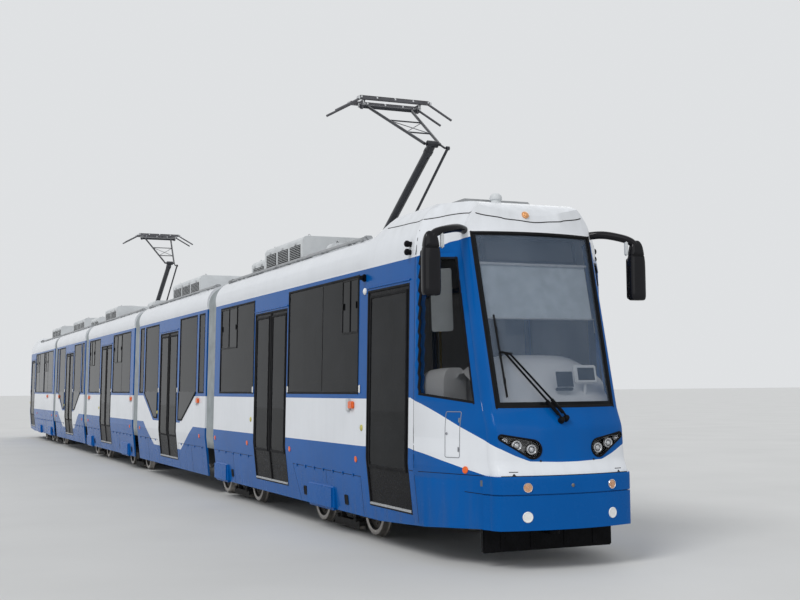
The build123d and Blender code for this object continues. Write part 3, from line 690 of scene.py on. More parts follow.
WALL = 0.05
BODY_HALF = 1.2
NOSE_END = 3.0
TAPER_S = 1.32
CORNER_S, CORNER_HALF = 0.26, 0.80
BEND_S, BEND_HALF = 0.12, 0.74
DOME_Z = 3.85
DOME_FRONT_S, DOME_BACK_S = 0.9, 2.4
BROW_S, CROWN_S = 0.685, 1.05
BUMPER_Z, BUMPER_TOP_Z, BUMPER_END_S = 0.41, 0.945, 0.37
GROOVE_Z = 0.762
NOSE_SKIRT = [(0.43, BUMPER_Z), (1.3, 0.37), (2.4, 0.315)]
CAB_WINDOW = [(1.23, 1.77), (0.57, 1.68), (0.925, 3.215), (1.23, 3.235)]
# How far the nose's plan moves back with height: height, distance
NOSE_STEPS = [(0, 0.04), (0.95, 0.04), (1.08, 0.105), (1.425, 0.13), (1.6, 0.215), (SCREEN_TOP_Z, BROW_S),
              (4, 0.81)]
# Panes of the end cars: car, side, front S, rear S
PANES = [("a", -1, 2.96, 5.7), ("a", -1, 7.42, 9.44), ("a", 1, 1.45, 2.86), ("a", 1, 2.96, 5.7),
         ("a", 1, 5.78, 7.35), ("a", 1, 7.42, 9.44), ("e", -1, 31.76, 34.18), ("e", -1, 34.28, 36.74),
         ("e", 1, 31.76, 34.18), ("e", 1, 34.28, 36.74), ("e", 1, 36.86, 38.25)]
WINDOW_Z, WINDOW_TOP_Z = 1.78, 3.195
FAR = 12.0


def ramp_of(value, low, high):
    """0 at low and 1 at high, straight between them and clamped."""
    return min(1.0, max(0.0, (value - low) / (high - low)))


def between(value, steps):
    """Straight interpolation in a list of (position, value)."""
    for (a, low), (b, high) in zip(steps, steps[1:]):
        if value <= b:
            return low + (high - low) * max(0, value - a) / (b - a)
    return steps[-1][1]


def lofted(rings):
    """A closed mesh through rings with the same number of points."""
    bm = bmesh.new()
    join(bm, [[bm.verts.new(point) for point in ring] for ring in rings], caps=True)
    bmesh.ops.connect_verts_nonplanar(bm, angle_limit=0.0005, faces=bm.faces)
    bmesh.ops.recalc_face_normals(bm, faces=bm.faces)
    mesh = bpy.data.meshes.new("work")
    bm.to_mesh(mesh)
    bm.free()
    return mesh


def prism(outline, axis, low, high):
    """An outline given as (S, height) for axis Y, or as (Y, height) for axis S, run from low to high."""
    if axis == "Y":
        return lofted([[(at(s), y, z) for s, z in outline] for y in (low, high)])
    return lofted([[(at(s), y, z) for y, z in outline] for s in (low, high)])


def cuboid(front, rear, right, left, low, high):
    return prism([(front, low), (rear, low), (rear, high), (front, high)], "Y", right, left)


def together(meshes):
    """Several meshes as one, without cutting them."""
    bm = bmesh.new()
    for mesh in meshes:
        bm.from_mesh(mesh)
    made = bpy.data.meshes.new("work")
    bm.to_mesh(made)
    bm.free()
    return made


def combined(mesh, other, operation):
    """The difference, intersection or union of two meshes."""
    pair = [bpy.data.objects.new("work", item) for item in (mesh, other)]
    for obj in pair:
        bpy.context.collection.objects.link(obj)
    cut = pair[0].modifiers.new("cut", "BOOLEAN")
    cut.object, cut.operation, cut.solver = pair[1], operation, "EXACT"
    made = bpy.data.meshes.new_from_object(pair[0].evaluated_get(bpy.context.evaluated_depsgraph_get()))
    for obj in pair:
        bpy.data.objects.remove(obj)
    if not made.polygons:
        raise ValueError(f"{operation} left nothing")
    return made


def set_back(z):
    """How far the nose lies back at a height, with the corners of NOSE_STEPS rounded."""
    return sum(between(z + 0.008 * k, NOSE_STEPS) for k in range(-5, 6)) / 11


def plan_outline(z, inset):
    """The nose seen from above at one height: a taper, round corners and a bowed front."""
    back = set_back(z)
    slope = (BODY_HALF - CORNER_HALF) / (TAPER_S - CORNER_S - back)
    wide = BODY_HALF + slope * (NOSE_END - TAPER_S) - inset
    corner = (CORNER_HALF - inset, -(CORNER_S + back + inset))
    mid = ((CORNER_HALF + BEND_HALF) / 2 + 0.016 - inset, -((CORNER_S + BEND_S) / 2 - 0.008 + back + inset))
    bend = (BEND_HALF - inset, -(BEND_S + back + inset))
    half = [(wide, -FAR), (wide, -NOSE_END)] + arch(corner, mid, bend, 6)
    bow = arch(bend, (0, -(back + inset)), (-bend[0], bend[1]), 26)[1:-1]
    outline = half + bow + [(-y, s) for y, s in reversed(half)]
    return [(at(-s), y, z) for y, s in outline]


def car_outline(s, inset, bottom):
    """The end car across the tram at one S: walls up to the cant, and the roof, which rises to the nose's dome."""
    cant = between(s, [(DOME_FRONT_S, CORNER_HALF + 0.01), (TAPER_S, SECTION[-1][0])])
    roof = between(s, [(DOME_FRONT_S, CORNER_HALF - 0.25), (TAPER_S, ROOF_HALF)])
    fall = ramp_of(s, DOME_BACK_S, NOSE_END)
    fall = fall * fall * (3 - 2 * fall)
    top = DOME_Z + (ROOF_Z - DOME_Z) * fall
    shoulder_z = (CANT_Z + top) / 2 + 0.05 + (SHOULDER[1] - (CANT_Z + ROOF_Z) / 2 - 0.05) * fall
    half = [(SECTION[0][0] - inset, bottom), (SECTION[1][0] - inset, SECTION[1][1]),
            (SECTION[2][0] - inset, CANT_Z)]
    half += arch((cant - inset - 0.0004, CANT_Z), (cant - inset - 0.07, shoulder_z - inset),
                 (roof - inset, top - inset), 10)
    return [(at(s), y, z) for y, z in half + [(-y, z) for y, z in reversed(half)]]


def end_car(inset, bottom, rear):
    """One end car, solid, moved inwards by inset. It is made at the front; the tail is its mirror image."""
    places = [-0.1, 0.5, 0.7, DOME_FRONT_S, 1.04, 1.18, TAPER_S, 1.6, 2.0] + [DOME_BACK_S + 0.06 * k
                                                                              for k in range(11)]
    body = lofted([car_outline(s, inset, bottom) for s in places + [rear]])
    heights = [-0.1, 0.6, 0.88] + [0.91 + 0.02 * k for k in range(11)] + [1.2, 1.3]
    heights += [1.38 + 0.025 * k for k in range(11)] + [1.8 + 0.15 * k for k in range(12)] + [3.5, 3.55, 4]
    plan = lofted([plan_outline(z, inset) for z in heights])
    body = combined(body, plan, "INTERSECT")
    head = (-(BROW_S + inset), SCREEN_TOP_Z - inset)
    bent = (-(BROW_S + 0.09 + inset), SCREEN_TOP_Z + 0.24 - inset)
    curve = [(-s, z) for s, z in arch(head, bent, (-CROWN_S, DOME_Z - inset), 14)]
    brow = [(-0.3, SCREEN_TOP_Z - inset)] + curve + [(CROWN_S + 0.15, DOME_Z + 0.02), (FAR, DOME_Z + 0.02),
                                                     (FAR, -0.3), (-0.3, -0.3)]
    body = combined(body, prism(brow, "Y", -1.6, 1.6), "INTERSECT")
    if bottom > 0:
        below = [(-0.3, -0.2), (-0.3, BUMPER_Z)] + NOSE_SKIRT + [(2.4, -0.2)]
        body = combined(body, prism(below, "Y", -1.6, 1.6), "DIFFERENCE")
    return body


def mirrored(mesh):
    """The same mesh at the tram's other end."""
    bm = bmesh.new()
    bm.from_mesh(mesh)
    for vert in bm.verts:
        vert.co.x = -vert.co.x
    bmesh.ops.reverse_faces(bm, faces=bm.faces)
    made = bpy.data.meshes.new("work")
    bm.to_mesh(made)
    bm.free()
    return made


def side_prism(side, front, rear, low, high):
    right, left = (0.74, 1.5) if side > 0 else (-1.5, -0.74)
    return cuboid(front, rear, right, left, low, high)


def end_openings(car):
    """Prisms of the panes, doorways and door glass of one end car, as seen at the front."""
    def opening(side, front, rear, low, high):
        if car == "e":
            front, rear = LENGTH - rear, LENGTH - front
        return side_prism(side, front, rear, low, high)

    panes = [opening(side, s0, s1, WINDOW_Z, WINDOW_TOP_Z) for side, s0, s1 in own(PANES, car)]
    panes += [prism(CAB_WINDOW, "Y", *sorted((side * 0.745, side * 1.5))) for side in SIDES]
    top = SCREEN_TOP_Z - 0.02
    screen = [(-SCREEN_HALF, SCREEN_Z), (SCREEN_HALF, SCREEN_Z), (SCREEN_TOP_HALF, top), (-SCREEN_TOP_HALF, top)]
    panes.append(prism(screen, "S", -0.1, 0.9))
    doorways, leaves = [], []
    for s0, s1, count in own(DOORS, car):
        doorways.append(opening(-1, s0, s1, DOOR_Z, DOOR_TOP_Z))
        width = (s1 - s0 - LEAF_GAP * (count - 1)) / count
        for k in range(count):
            start = s0 + k * (width + LEAF_GAP)
            leaves.append(opening(-1, start + LEAF_FRAME, start + width - LEAF_FRAME, 0.935,
                                  DOOR_TOP_Z - LEAF_FRAME))
    return panes, doorways, leaves


def finish_body(name, mesh, body, finish, slot, *nodes):
    """Makes a piece of the bodywork from a mesh, with its flat parts shaded flat."""
    bm = bmesh.new()
    bm.from_mesh(mesh)
    bmesh.ops.remove_doubles(bm, verts=bm.verts, dist=0.00002)
    bmesh.ops.dissolve_degenerate(bm, dist=0.00002, edges=bm.edges)
    bmesh.ops.recalc_face_normals(bm, faces=bm.faces)
    for face in bm.faces:
        face.smooth = True
    for edge in bm.edges:
        edge.smooth = len(edge.link_faces) == 2 and edge.calc_face_angle(0) < radians(28)
    made = bpy.data.meshes.new(name)
    bm.to_mesh(made)
    bm.free()
    obj = bpy.data.objects.new(name, made)
    bpy.context.collection.objects.link(obj)
    flat = obj.modifiers.new("flat", "WEIGHTED_NORMAL")
    flat.weight, flat.keep_sharp = 90, True
    final = bpy.data.meshes.new_from_object(obj.evaluated_get(bpy.context.evaluated_depsgraph_get()))
    obj.modifiers.clear()
    obj.data = final
    final.name = name
    final.materials.clear()
    final.materials.append(finish)
    return place(obj, body, slot, *nodes)


# Meshes that only carry other pieces
UNSEEN = {}


def add_end_car(car):
    """Shell, panes, lamp hulls and bumper of an end car."""
    rear = END_LENGTHS[car]
    turned = (lambda mesh: mesh) if car == "a" else mirrored
    name = "front" if car == "a" else "rear"
    outer = end_car(0, SECTION[0][1], rear)
    hollow = end_car(WALL, -0.05, rear + 0.1)
    panes, doorways, leaves = end_openings(car)
    hulls = [prism(hull_outline(side), "S", -0.1, 0.45) for side in SIDES]
    space = cuboid(-0.1, BUMPER_END_S, -1.4, 1.4, -0.1, BUMPER_TOP_Z)
    shell = combined(combined(outer, hollow, "DIFFERENCE"), together(panes + doorways), "DIFFERENCE")
    shell = combined(combined(shell, together(hulls), "DIFFERENCE"), space, "DIFFERENCE")
    wall = lofted([car_outline(s, WALL / 2, 0.9) for s in (rear - WALL, rear)])
    wall = combined(wall, cuboid(rear - 0.2, rear + 0.2, -0.65, 0.65, 0.2, 2.95), "DIFFERENCE")
    pieces = {"shell_" + car: finish_body("bodywork_" + car, turned(together([shell, wall])), car, SHELLS[car],
                                          "body_paint", "shell_" + car)}
    glass_panes = combined(together(panes + leaves), end_car(0.008, SECTION[0][1], rear), "INTERSECT")
    glass_panes = combined(glass_panes, end_car(0.024, -0.05, rear + 0.1), "DIFFERENCE")
    pieces["glazing_" + car] = finish_body("panes_" + car, turned(glass_panes), car, GLASS, "window_glass",
                                           "glazing_" + car)
    lamp_hulls = combined(together(hulls), end_car(-0.004, SECTION[0][1], 3.0), "INTERSECT")
    lamp_hulls = combined(lamp_hulls, end_car(WALL, -0.05, 3.1), "DIFFERENCE")
    if car == "a":
        UNSEEN["lamp_hulls_a"] = lamp_hulls
    else:
        pieces["lamp_hulls_e"] = finish_body("tail_lamp_hulls", turned(lamp_hulls), car, FINISHES["lamp_black"],
                                             "lamp_black")
    thick = combined(end_car(-0.015, SECTION[0][1], 3.0),
                     cuboid(-0.3, BUMPER_END_S, -1.4, 1.4, BUMPER_Z, BUMPER_TOP_Z), "INTERSECT")
    bumper = combined(thick, end_car(WALL, -0.05, 3.1), "DIFFERENCE")
    groove = combined(cuboid(-0.3, 0.4, -1.3, 1.3, GROOVE_Z - 0.006, GROOVE_Z + 0.006),
                      end_car(0.002, SECTION[0][1], 3.0), "DIFFERENCE")
    pieces["bumper_" + name] = finish_body("bumper_" + name + "_skin",
                                           turned(combined(bumper, groove, "DIFFERENCE")), car, FINISHES["bumper"],
                                           "body_paint", "bumper_" + name)
    return pieces


BODYWORK = {**add_end_car("a"), **add_end_car("e")}


# Places on the surfaces of the model

# Rays start this far out at the sides and this high over the roof
OUTSIDE_Y, OVERHEAD_Z = 1.7, 5.0
SKIN_NODES = {car: [f"shell_{car}", f"glazing_{car}", f"doors_{car}"] for car in CARS}
SKIN_NODES["a"] += ["bumper_front", "lamp_hulls_a"]
SKIN_NODES["e"] += ["bumper_rear", "lamp_hulls_e"]


def mesh_of(name):
    """The mesh that shows for a CAD node."""
    return UNSEEN[name] if name in UNSEEN else BODYWORK.get(name, NODES.get(name)).data


def skin_tree(names):
    """A tree for casting rays on CAD nodes."""
    bm = bmesh.new()
    for name in names:
        bm.from_mesh(mesh_of(name))
    tree = BVHTree.FromBMesh(bm)
    bm.free()
    return tree


SKIN = {car: skin_tree(names) for car, names in SKIN_NODES.items()}


def hit(car, start, way):
    """Point and normal where a line meets the car. One that slips through between two faces is tried again."""
    point = None
    for nudge in (0, 0.0003, -0.0004):
        if point is None:
            beside = Vector((start[0] + nudge, start[1] + nudge, start[2] + nudge))
            point, normal, _, _ = SKIN[car].ray_cast(beside, Vector(way))
    if point is None:
        raise ValueError(f"nothing of car {car} lies beyond {tuple(start)} along {tuple(way)}")
    return point, normal if normal.dot(Vector(way)) < 0 else -normal


def on_side(car, s, z, side=-1):
    """Point and normal on the right (-1) or left (1) side."""
    return hit(car, (at(s), side * OUTSIDE_Y, z), (0, -side, 0))


def on_front(y, z, end=1):
    """Point and normal on the nose, or on the tail, its mirror image, where end is -1."""
    point, normal = hit("a", (NOSE_X + 0.5, y, z), (-1, 0, 0))
    return Vector((end * point.x, point.y, point.z)), Vector((end * normal.x, normal.y, normal.z))


def on_roof(car, s, y):
    """Point and normal on the roof, or on what stands there."""
    return hit(car, (at(s), y, OVERHEAD_Z), (0, 0, -1))


def spread(corners, step, closed=True):
    """Points at most a step apart along the lines between corners."""
    ends = corners[1:] + corners[:1] if closed else corners[1:]
    made = []
    for a, b in zip(corners, ends):
        pieces = max(1, ceil(hypot(b[0] - a[0], b[1] - a[1]) / step))
        made += [(a[0] + (b[0] - a[0]) * k / pieces, a[1] + (b[1] - a[1]) * k / pieces) for k in range(pieces)]
    return made if closed else made + [corners[-1]]


def rounded(corners, radius, steps=5):
    """A closed outline with its corners rounded."""
    made = []
    count = len(corners)
    for k in range(count):
        a, b, c = (Vector(corners[(k + n) % count]) for n in (-1, 0, 1))
        into, out = (a - b).normalized(), (c - b).normalized()
        turn = into.angle(out)
        reach = min(radius / max(0.2, tan(turn / 2)), 0.45 * (a - b).length, 0.45 * (c - b).length)
        start, end = b + into * reach, b + out * reach
        for n in range(steps + 1):
            t = n / steps
            point = start * (1 - t) ** 2 + b * 2 * t * (1 - t) + end * t * t
            made.append(tuple(point))
    return made


def side_path(car, corners, side=-1, closed=True, step=0.15):
    """Corners given as (S, height), laid on a side."""
    return [on_side(car, s, z, side) for s, z in spread(corners, step, closed)]


def strip(bm, car, corners, width, height, side=-1, step=0.15):
    """An open ribbon along corners on a side."""
    add_ribbon(bm, side_path(car, corners, side, False, step), width, height, closed=False)


def surface(found, height=0.0):
    """A frame on a point that was found on a surface, or at a height above it."""
    point, normal = found
    return matrix_at(point + normal * height, normal)


def rectangle(half_width, half_height, radius, steps=5):
    """A closed outline round the origin with rounded corners."""
    return rounded([(-half_width, -half_height), (half_width, -half_height), (half_width, half_height),
                    (-half_width, half_height)], radius, steps)


def front_path(corners, end=1, closed=True, step=0.06):
    """Corners given as (Y, height), laid on the nose or tail."""
    return [on_front(y, z, end) for y, z in spread(corners, step, closed)]


def outer_loops(node, facing, wanted=0.55):
    """Outlines of a node's outer faces, as lists of (point, normal). facing gives the outward direction there."""
    bm = bmesh.new()
    bm.from_mesh(mesh_of(node))
    bmesh.ops.remove_doubles(bm, verts=bm.verts, dist=1e-5)
    bm.normal_update()
    outer = {face for face in bm.faces if face.normal.dot(facing(face.calc_center_median())) > wanted}
    steps = {}
    for face in outer:
        for loop in face.loops:
            if sum(other in outer for other in loop.edge.link_faces) == 1:
                steps[loop.vert] = (loop.link_loop_next.vert, face.normal.copy())
    loops = []
    while steps:
        start = next(iter(steps))
        path, vert = [], start
        while vert in steps:
            following, normal = steps.pop(vert)
            path.append((vert.co.copy(), normal))
            vert = following
        if vert == start and len(path) > 2:
            loops.append(path)
    bm.free()
    return loops


def sideways(point):
    return Vector((0, 1 if point.y > 0 else -1, 0))


def endways(point):
    return Vector((1 if point.x > 0 else -1, 0, 0))


# Windows and doors


def add_seals(car):
    """Rubber round every pane and door leaf."""
    panes = outer_loops("glazing_" + car, sideways)
    if car in "ae":
        panes += outer_loops("glazing_" + car, endways, 0.75)

    def fill(bm):
        for loop in panes:
            add_ribbon(bm, loop, 0.032, 0.011)
        for loop in outer_loops("doors_" + car, sideways):
            add_ribbon(bm, loop, 0.034, 0.014)

    build("seals_" + car, car, "rubber", "door_black", fill)


def add_door_trim(k, car, s0, s1, leaves):
    """Sill, drip rail, grab rails behind the glass and push button of one doorway."""
    def metal(bm):
        strip(bm, car, [(s0 + 0.01, DOOR_Z + 0.018), (s1 - 0.01, DOOR_Z + 0.018)], 0.030, 0.020)

    def rail(bm):
        strip(bm, car, [(s0 - 0.03, DOOR_TOP_Z + 0.045), (s1 + 0.03, DOOR_TOP_Z + 0.045)], 0.022, 0.014)

    def rails(bm):
        width = (s1 - s0) / leaves
        for n in range(leaves):
            for s in (s0 + n * width + 0.13, s0 + (n + 1) * width - 0.13):
                line = [(-1.085, 1.0), (-1.045, 1.04), (-1.04, 1.9), (-1.045, 2.02), (-1.07, 2.06)]
                add_pipe(bm, smooth_path([(at(s), y, z) for y, z in line], 4), 0.014, 8)

    def button(bm):
        add_lathe(bm, surface(on_side(car, s1 + 0.16, 1.37)),
                  [(0.036, -0.004), (0.038, 0.006), (0.030, 0.012), (0.027, 0.010), (0.020, 0.015), (0, 0.017)], 20)

    build(f"door_metal_{k}", car, "aluminium", "roof_grey", metal)
    build(f"door_drip_rail_{k}", car, "bumper", "body_paint", rail)
    build(f"door_rails_{k}", car, "pole", "interior_grey", rails)
    build(f"door_button_{k}", car, "button", "door_black", button)


# Vent windows: car, front S, rear S
VENTS = [("a", 2.98, 3.55), ("a", 8.42, 9.42), ("c", 18.8, 19.93), ("c", 22.9, 23.74), ("e", 33.2, 34.16),
         ("e", 35.7, 36.72)]
VENT_Z, VENT_TOP_Z = 2.52, 3.17
# Joints between the panes of the long windows: car, S
MULLIONS = [("a", 4.28), ("c", 18.76), ("e", 33.16), ("e", 35.66)]


def add_vents(car):
    """Frames, handles and open parts of the sliding vents, and the joints of the long panes. A dark glossy sheet
    over each open part is painted shade for the inside seen through it.
    """
    vents = [(*row, side) for row in own(VENTS, car) for side in SIDES]

    def frames(bm):
        for s0, s1, side in vents:
            corners = [(s0 + 0.02, VENT_Z), (s1 - 0.02, VENT_Z), (s1 - 0.02, VENT_TOP_Z), (s0 + 0.02, VENT_TOP_Z)]
            add_ribbon(bm, side_path(car, corners, side), 0.026, 0.010)
            middle = 0.5 * (s0 + s1)
            strip(bm, car, [(middle, VENT_Z), (middle, VENT_TOP_Z)], 0.020, 0.012, side)
            for s in (s0 + 0.06, s1 - 0.06):
                add_box(bm, surface(on_side(car, s, VENT_Z + 0.33, side), 0.012), (0.022, 0.09, 0.016), 0.005)

    # Painted shade: a dark sheet just outside the glass where the vent is open.
    def painted_vent_shade(bm):
        for s0, s1, side in vents:
            end = 0.5 * (s0 + s1) if s1 - s0 > 0.7 else s1 - 0.03
            corners = [(s0 + 0.03, VENT_Z + 0.01), (end, VENT_Z + 0.01), (end, VENT_TOP_Z - 0.01),
                       (s0 + 0.03, VENT_TOP_Z - 0.01)]
            found = [on_side(car, s, z, side) for s, z in corners]
            bm.faces.new([bm.verts.new(point + normal * 0.0025) for point, normal in found])

    def joints(bm):
        for (s,) in own(MULLIONS, car):
            for side in SIDES:
                strip(bm, car, [(s, 1.80), (s, VENT_TOP_Z)], 0.024, 0.002, side)

    # The vents' dark sheets are painted shade.
    build("vent_painted_shade_" + car, car, "dark_pane", "window_glass", painted_vent_shade, 0)
    build("pane_joints_" + car, car, "rubber", "door_black", joints)
    build("vents_" + car, car, "black", "door_black", frames)


# Seams of the panels, on both sides: car, then corners as (S, height)
SEAMS = [
    ("a", [(1.30, 0.40), (1.30, 3.55)]),
    ("a", [(1.42, 0.953), (0.375, 0.945)]),
    ("a", [(0.375, 0.762), (0.62, 0.775)]),
    ("a", [(0.374, 0.760), (0.374, 0.425)]),
    ("a", [(2.90, 0.79), (5.47, 0.805), (5.23, 0.33)]),
    ("a", [(2.90, 0.79), (2.90, 0.33)]),
    ("a", [(4.12, 0.62), (4.12, 0.80)]),
    ("a", [(7.45, 0.81), (9.75, 0.81)]),
    ("a", [(8.60, 0.81), (8.60, 0.33)]),
    ("b", [(10.5, 0.81), (12.55, 0.81), (12.55, 0.33)]),
    ("b", [(14.45, 0.33), (14.45, 0.81), (16.5, 0.81)]),
    ("b", [(11.5, 0.81), (11.5, 0.33)]),
    ("b", [(15.5, 0.81), (15.5, 0.33)]),
    ("c", [(17.3, 0.81), (20.0, 0.81), (20.0, 0.33)]),
    ("c", [(19.0, 0.81), (19.0, 0.33)]),
    ("c", [(21.9, 0.33), (21.9, 0.81), (23.9, 0.81)]),
    ("c", [(22.9, 0.81), (22.9, 0.33)]),
    ("d", [(24.7, 0.81), (26.75, 0.81), (26.75, 0.33)]),
    ("d", [(28.65, 0.33), (28.65, 0.81), (30.7, 0.81)]),
    ("d", [(25.7, 0.81), (25.7, 0.33)]),
    ("d", [(29.7, 0.81), (29.7, 0.33)]),
    ("e", [(31.5, 0.81), (36.9, 0.81), (36.9, 0.33)]),
    ("e", [(33.6, 0.81), (33.6, 0.33)]),
    ("e", [(38.40, 0.40), (38.40, 3.55)]),
    ("e", [(38.28, 0.953), (39.325, 0.945)]),
]
# Hinges of the skirt flaps: car, front S, rear S, count
HINGE_Z = 0.79
HINGES = [("a", 3.15, 5.3, 7), ("a", 7.7, 9.5, 5), ("b", 10.7, 12.3, 4), ("b", 14.7, 16.3, 4), ("c", 17.5, 19.8, 6),
          ("c", 22.1, 23.7, 4), ("d", 24.9, 26.5, 4), ("d", 28.9, 30.5, 4), ("e", 31.8, 36.6, 12)]


def add_seams(car):
    """Lines between the panels, and the hinges of the skirt flaps."""
    def lines(bm):
        for (corners,) in own(SEAMS, car):
            for side in SIDES:
                strip(bm, car, corners, 0.007, 0.0012, side, 0.1)

    def hinges(bm):
        for s0, s1, count in own(HINGES, car):
            for n in range(count):
                for side in SIDES:
                    place_at = surface(on_side(car, s0 + (s1 - s0) * n / (count - 1), HINGE_Z, side), 0.004)
                    add_box(bm, place_at, (0.05, 0.03, 0.010), 0.004)
                    add_pipe(bm, [place_at @ Vector((x, 0.017, 0.003)) for x in (-0.028, 0.028)], 0.007, 8)

    build("seams_" + car, car, "rubber", "door_black", lines, 0)
    build("hinges_" + car, car, "bumper", "body_paint", hinges)


# Small things on the sides: car, S, and height where it isn't the same for all
SIDE_LAMPS = [("a", 3.18, 1.637), ("b", 10.97, 1.637), ("c", 17.42, 1.637), ("c", 23.6, 1.637), ("d", 29.9, 1.637),
              ("e", 33.0, 1.637), ("e", 38.8, 1.5)]
REFLECTORS = [("a", 0.613, 0.995), ("a", 3.0, 0.99), ("a", 5.56, 1.0), ("a", 7.7, 1.0), ("a", 9.67, 1.01),
              ("b", 10.81, 1.0), ("b", 16.3, 1.0), ("c", 17.5, 1.0), ("c", 23.7, 1.0), ("d", 24.9, 1.0),
              ("d", 30.5, 1.0), ("e", 31.7, 1.0), ("e", 36.0, 1.0), ("e", 39.0, 1.0)]
DOOR_LAMP_Z = 1.83
DOOR_LAMPS = [("a", 2.89), ("a", 5.70), ("a", 7.42), ("b", 12.63), ("b", 14.37), ("c", 20.06), ("c", 21.84),
              ("d", 26.83), ("d", 28.57), ("e", 36.95), ("e", 38.33)]


def add_side_fittings(car):
    """Orange lamps in grey boxes, round reflectors, and narrow white lamps beside the doors."""
    lamps = [(*row, side) for row in own(SIDE_LAMPS, car) for side in SIDES]

    def boxes(bm):
        for s, z, side in lamps:
            add_box(bm, surface(on_side(car, s + 0.07, z, side), 0.012), (0.11, 0.15, 0.030), 0.008)

    def lenses(bm):
        for s, z, side in lamps:
            frame_at = surface(on_side(car, s - 0.05, z, side), 0.020)
            add_box(bm, frame_at, (0.14, 0.09, 0.040), 0.012, 3)
            for n in range(6):
                add_pipe(bm, [frame_at @ Vector((x, -0.035 + 0.014 * n, 0.019)) for x in (-0.058, 0.058)], 0.003, 6)
        for s, z in own(REFLECTORS, car):
            for side in SIDES:
                add_lathe(bm, surface(on_side(car, s, z, side)), [(0.037, -0.002), (0.037, 0.007), (0.030, 0.010),
                                                                  (0.029, 0.008), (0.015, 0.009), (0, 0.0095)], 24)

    def white(bm):
        for (s,) in own(DOOR_LAMPS, car):
            add_box(bm, surface(on_side(car, s, DOOR_LAMP_Z), 0.008), (0.032, 0.10, 0.022), 0.009, 3)

    build("side_lamp_boxes_" + car, car, "roof_box", "roof_grey", boxes)
    build("side_lenses_" + car, car, "orange", "lamp_black", lenses)
    build("door_lamps_" + car, car, "white_lens", "lamp_black", white)


# Recesses for lifting jacks in the skirts: car, S
JACKS = [("a", 3.45), ("a", 5.02), ("a", 8.72), ("c", 17.5), ("c", 18.95), ("c", 22.8), ("e", 31.75), ("e", 33.2),
         ("e", 36.1)]
JACK_Z = 0.47


def add_jack_holes(car):
    """Framed recesses in the skirts. Each is a black square in a rim, whose black is painted shade for the inside
    of the recess.
    """
    def fill(bm):
        for (s,) in own(JACKS, car):
            for side in SIDES:
                found = on_side(car, s, JACK_Z, side)
                # Painted shade: the black square stands for the shade inside the recess.
                add_box(bm, surface(found), (0.11, 0.11, 0.006), 0.002)
                rim = [surface(found) @ Vector((x, y, 0.002)) for x, y in rectangle(0.055, 0.055, 0.012)]
                add_ribbon(bm, [(point, found[1]) for point in rim], 0.012, 0.006)

    build("jack_holes_" + car, car, "rubber", "door_black", fill)


# Nose and tail


def add_flat_lamp(bm_ring, bm_lens, bm_bowl, point, normal, radius):
    """A lamp that stands on a closed surface: ring, shallow faceted bowl and lens."""
    place_at = matrix_at(point, normal)
    r = radius
    add_lathe(bm_ring, place_at, [(r * 1.12, -0.006), (r * 1.12, 0.005), (r * 1.06, 0.009), (r * 0.98, 0.007),
                                  (r * 0.96, 0.002)], 28)
    bowl = [(r * (1 - k / 10), 0.003 - 0.002 * (k % 2)) for k in range(10)]
    add_lathe(bm_bowl, place_at, bowl + [(0, 0.004)], 20)
    add_lathe(bm_bowl, place_at, [(r * 0.22, 0.002), (r * 0.20, 0.008), (0, 0.010)], 16)
    add_lathe(bm_lens, place_at, [(r * 0.97 * cos(a * pi / 16), 0.006 + 0.25 * r * sin(a * pi / 16))
                                  for a in range(9)], 28)


def add_round_lamp(bm_ring, bm_lens, bm_bowl, point, normal, radius):
    """A bright ring, a ribbed bowl, the projector's glass and a domed lens, looking along the normal. The
    projector's glass is light silver, a painted highlight.
    """
    place_at = matrix_at(point, normal)
    r = radius
    add_lathe(bm_ring, place_at, [(r * 1.04, -0.03), (r * 1.10, -0.004), (r * 1.08, 0.004), (r * 0.98, 0.006),
                                  (r * 0.84, 0.001), (r * 0.80, -0.010)], 28)
    # The projector's glass, light silver like the ring: a painted highlight.
    add_lathe(bm_ring, place_at, [(r * 0.50, -0.020), (r * 0.52, -0.004), (r * 0.44, 0.004), (r * 0.24, 0.009),
                                  (0, 0.010)], 20)
    bowl = [(r * (0.86 - 0.8 * k / 8), -0.008 - 0.014 * (1 - (1 - k / 8) ** 2) + (0.0015 if k % 2 else 0))
            for k in range(8)]
    add_lathe(bm_bowl, place_at, bowl + [(0, -0.022)], 28)
    add_lathe(bm_lens, place_at, [(r * 0.98 * cos(a * pi / 16), 0.003 + 0.30 * r * sin(a * pi / 16))
                                  for a in range(9)], 28)


